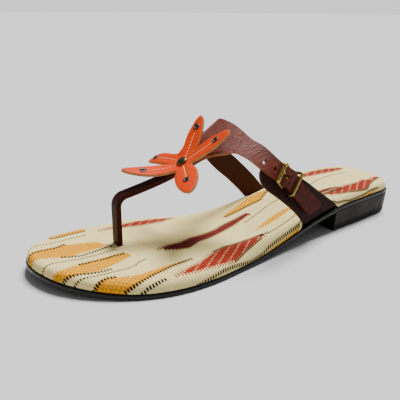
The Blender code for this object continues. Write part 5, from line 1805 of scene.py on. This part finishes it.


# %% [markdown]
# ### Dyed threads
#
# Cotton takes dye unevenly, so each yarn has a dark and a light tone. Gold is crossed by paler flecks on
# the slant, brick red by single cream threads. The gaps between threads lie deeper and get painted shade.

# %% Cream, gold and red threads
# Painted shade in the gaps between threads, for cream, gold and red alike.
gap = add(tree, "ShaderNodeMapRange", {0: thread_side, 1: -1.0, 2: 1.0, 3: 0.0, 4: 0.22})
stripe = add(tree, "ShaderNodeMapRange", {0: warp, 1: 0.50, 2: 0.68, 3: 0.0, 4: 0.5})
stain = add(tree, "ShaderNodeMapRange", {0: cloud, 1: 0.50, 2: 0.72, 3: 0.0, 4: 0.35})
cream = add(tree, "ShaderNodeMix", {0: weft, 6: "#ECD488", 7: "#FFF2B0"}, **BLEND)
cream = add(tree, "ShaderNodeMix", {0: stripe, 6: cream, 7: "#CFB878"}, **BLEND)
cream = add(tree, "ShaderNodeMix", {0: gap, 6: cream, 7: "#B48C54"}, **BLEND)
cream = add(tree, "ShaderNodeMix", {0: stain, 6: cream, 7: "#DCB878"}, **BLEND)

slant = add(tree, "ShaderNodeMath", {0: across_mm, 1: 1.34, 2: row_mm}, operation="MULTIPLY_ADD")
wander = add(tree, "ShaderNodeMath", {0: warp, 1: 2.4, 2: slant}, operation="MULTIPLY_ADD")
fleck_row = add(tree, "ShaderNodeMath", {0: wander, 1: 3.4}, operation="FLOORED_MODULO")
fleck = add(tree, "ShaderNodeMapRange", {0: fleck_row, 1: 0.9, 2: 1.3, 3: 0.75, 4: 0.0})
gold = add(tree, "ShaderNodeMix", {0: weft, 6: "#C87000", 7: "#F0A000"}, **BLEND)
gold = add(tree, "ShaderNodeMix", {0: fleck, 6: gold, 7: "#F8C828"}, **BLEND)
gold = add(tree, "ShaderNodeMix", {0: gap, 6: gold, 7: "#8A4A00"}, **BLEND)

hair_row = add(tree, "ShaderNodeMath", {0: slant, 1: 7.3}, operation="FLOORED_MODULO")
hair_thread = add(tree, "ShaderNodeMapRange", {0: hair_row, 1: 0.35, 2: 0.6, 3: 0.85, 4: 0.0})
broken = add(tree, "ShaderNodeMapRange", {0: weft, 1: 0.38, 2: 0.46, 3: 0.0, 4: 1.0})
hair_thread = add(tree, "ShaderNodeMath", {0: hair_thread, 1: broken}, operation="MULTIPLY")
red = add(tree, "ShaderNodeMix", {0: weft, 6: "#7C1408", 7: "#A8301A"}, **BLEND)
red = add(tree, "ShaderNodeMix", {0: stripe, 6: red, 7: "#C06048"}, **BLEND)
red = add(tree, "ShaderNodeMix", {0: gap, 6: red, 7: "#4E0A06"}, **BLEND)
red = add(tree, "ShaderNodeMix", {0: hair_thread, 6: red, 7: "#EFD8A8"}, **BLEND)
maroon = add(tree, "ShaderNodeMix", {0: weft, 6: "#4A0A0C", 7: "#7A2018"}, **BLEND)
maroon = add(tree, "ShaderNodeMix", {0: stripe, 6: maroon, 7: "#9A5A4A"}, **BLEND)

print("yarns mixed:", ", ".join(("cream", "gold", "red", "maroon")))


# %% [markdown]
# ### Lay the figures on the cream
#
# The leaves go on first, each with a toothed edge, because its threads end at different places. Then come
# the fine lines beside them and the dashes, which lie over everything.

# %% Lay the figures on the cream
base = cream
for leaves, dye, reach in ((GOLD_LEAVES, gold, 0.5), (RED_LEAVES, red, 0.9), (MAROON_LEAVES, maroon, 0.8)):
    tooth = add(tree, "ShaderNodeMath", {0: thread_side, 1: reach, 2: 0.6 * reach}, operation="MULTIPLY_ADD")
    inside = leaf_inside(tree, row_mm, across, leaves, tooth)
    share = add(tree, "ShaderNodeMapRange", {0: inside, 1: 0.0, 2: 0.3, 3: 0.0, 4: 1.0})
    base = add(tree, "ShaderNodeMix", {0: share, 6: base, 7: dye}, **BLEND)
for lines, width, strength, dye, rows in (
    (HAIRLINES, 1.3, 0.95, "#24160A", dash),
    (OLIVE_LINES, 1.3, 0.85, "#2E2406", 1.0),
    (DASHED_LINES, 2.3, 1.0, "#120603", dash),
):
    near = line_near(tree, row_mm, across, lines, width)
    near = add(tree, "ShaderNodeMath", {0: near, 1: strength}, operation="MULTIPLY")
    near = add(tree, "ShaderNodeMath", {0: near, 1: rows}, operation="MULTIPLY")
    base = add(tree, "ShaderNodeMix", {0: near, 6: base, 7: dye}, **BLEND)

print("nodes in the cover:", len(tree.nodes))


# %% [markdown]
# ### Relief of the weave
#
# A plain weave stands up where one thread crosses over another: two waves, multiplied. Cotton is matt, so
# nearly all its light is scattered. The board under the pad is brown fibre.

# %% Relief of the weave
CORD_PITCH = 0.7
waves = []
for place_mm, pitch in ((along_mm, WEFT_PITCH / 2), (across_mm, CORD_PITCH)):
    turn = add(tree, "ShaderNodeMath", {0: place_mm, 1: 2 * math.pi / pitch}, operation="MULTIPLY")
    waves.append(add(tree, "ShaderNodeMath", {0: turn}, operation="SINE"))
weave = add(tree, "ShaderNodeMath", dict(enumerate(waves)), operation="MULTIPLY")
fuzz = add(tree, "ShaderNodeMath", {0: weft, 1: 3.0, 2: weave}, operation="MULTIPLY_ADD")
bump = add(tree, "ShaderNodeBump", {"Height": fuzz, "Strength": 0.6, "Distance": 0.00010})
feed(tree, shader, Base_Color=base, Roughness=0.9, Normal=bump, IOR=1.5, Specular_IOR_Level=0.15)
board = suede("footbed_board", "#3A2A1C", "#5E4832")
dress(pad, cover, board)
print("the footbed has", len(pad.data.materials), "finishes: cloth and board")


# %% [markdown]
# ## Floor
#
# A shoe like this is photographed on a plain pale sheet. It is matt, so the shoe's shadow is all that
# shows on it, and large, so its edge lies far behind.

# %% Floor
FLOOR_HALF_SIZE = 20.0
bm = bmesh.new()
bmesh.ops.create_grid(bm, x_segments=1, y_segments=1, size=FLOOR_HALF_SIZE)
mesh = bpy.data.meshes.new("floor")
bm.to_mesh(mesh)
bm.free()
floor = bpy.data.objects.new("floor", mesh)
bpy.context.collection.objects.link(floor)
floor_paint, tree, shader = new_material("pale_floor")
feed(tree, shader, Base_Color="#CECECE", Roughness=0.95, IOR=1.5, Specular_IOR_Level=0.2)
dress(floor, floor_paint)
print("floor", round(floor.dimensions.x), "m wide")


# %% [markdown]
# ## Light
#
# One large soft lamp stands high over the heel's inner side. It rakes over the straps, which shows their
# grain and lays a soft shadow. The room is bright low down, which lights the shoe's sides, and dim above,
# so that dark leather stays dark.

# %% Lamp and room
LAMP_STRENGTH = 6.4
LAMP_WIDTH = math.radians(24)
LAMP_TRAVEL = Vector((-0.36, -0.16, -0.92))
ROOM_LOW, ROOM_HIGH = 1.1, 0.25

sun_data = bpy.data.lights.new("large_soft_lamp", "SUN")
sun_data.energy = LAMP_STRENGTH
sun_data.angle = LAMP_WIDTH
sun = bpy.data.objects.new("large_soft_lamp", sun_data)
bpy.context.collection.objects.link(sun)
sun.rotation_euler = LAMP_TRAVEL.to_track_quat("-Z", "Y").to_euler()

room = bpy.data.worlds.new("white_room")
room.use_nodes = True
tree = room.node_tree
place = add(tree, "ShaderNodeTexCoord", {})
height = add(tree, "ShaderNodeSeparateXYZ", {0: place}, output=2)
glow = add(tree, "ShaderNodeMapRange", {0: height, 1: 0.02, 2: 0.10, 3: ROOM_LOW, 4: ROOM_HIGH})
background = tree.nodes["Background"]
background.inputs["Color"].default_value = (1.0, 1.0, 1.0, 1.0)
tree.links.new(glow, background.inputs["Strength"])
bpy.context.scene.world = room
print("lamp", LAMP_STRENGTH, "room", ROOM_LOW, "low down and", ROOM_HIGH, "above")


# %% [markdown]
# ## Camera
#
# The camera looks down on the toe's outer side from about 0.3 m away. Its place, its lens and the way it is
# turned were worked out from the sole's edge, the heel and the buckle in the photo. The three columns of
# its axes point to the picture's right, to its top and back towards the viewer.

# %% Camera
SENSOR_MM, LENS_MM = 36.0, 46.584
CAMERA_PLACE = (-0.182919, -0.233781, 0.131956)
CAMERA_AXES = (
    (0.83050225, 0.18481767, -0.52546021),
    (-0.55693388, 0.29164635, -0.77766771),
    (0.00952182, 0.93850138, 0.34514418),
)
camera_data = bpy.data.cameras.new("camera")
camera_data.sensor_width = SENSOR_MM
camera_data.lens = LENS_MM
camera_data.clip_start = 0.01
camera = bpy.data.objects.new("camera", camera_data)
bpy.context.collection.objects.link(camera)
camera_matrix = Matrix(CAMERA_AXES).to_4x4()
camera_matrix.translation = CAMERA_PLACE
camera.matrix_world = camera_matrix
bpy.context.scene.camera = camera
print("camera", round(Vector(CAMERA_PLACE).length * 1000), "mm from the shoe's middle, lens", LENS_MM, "mm")
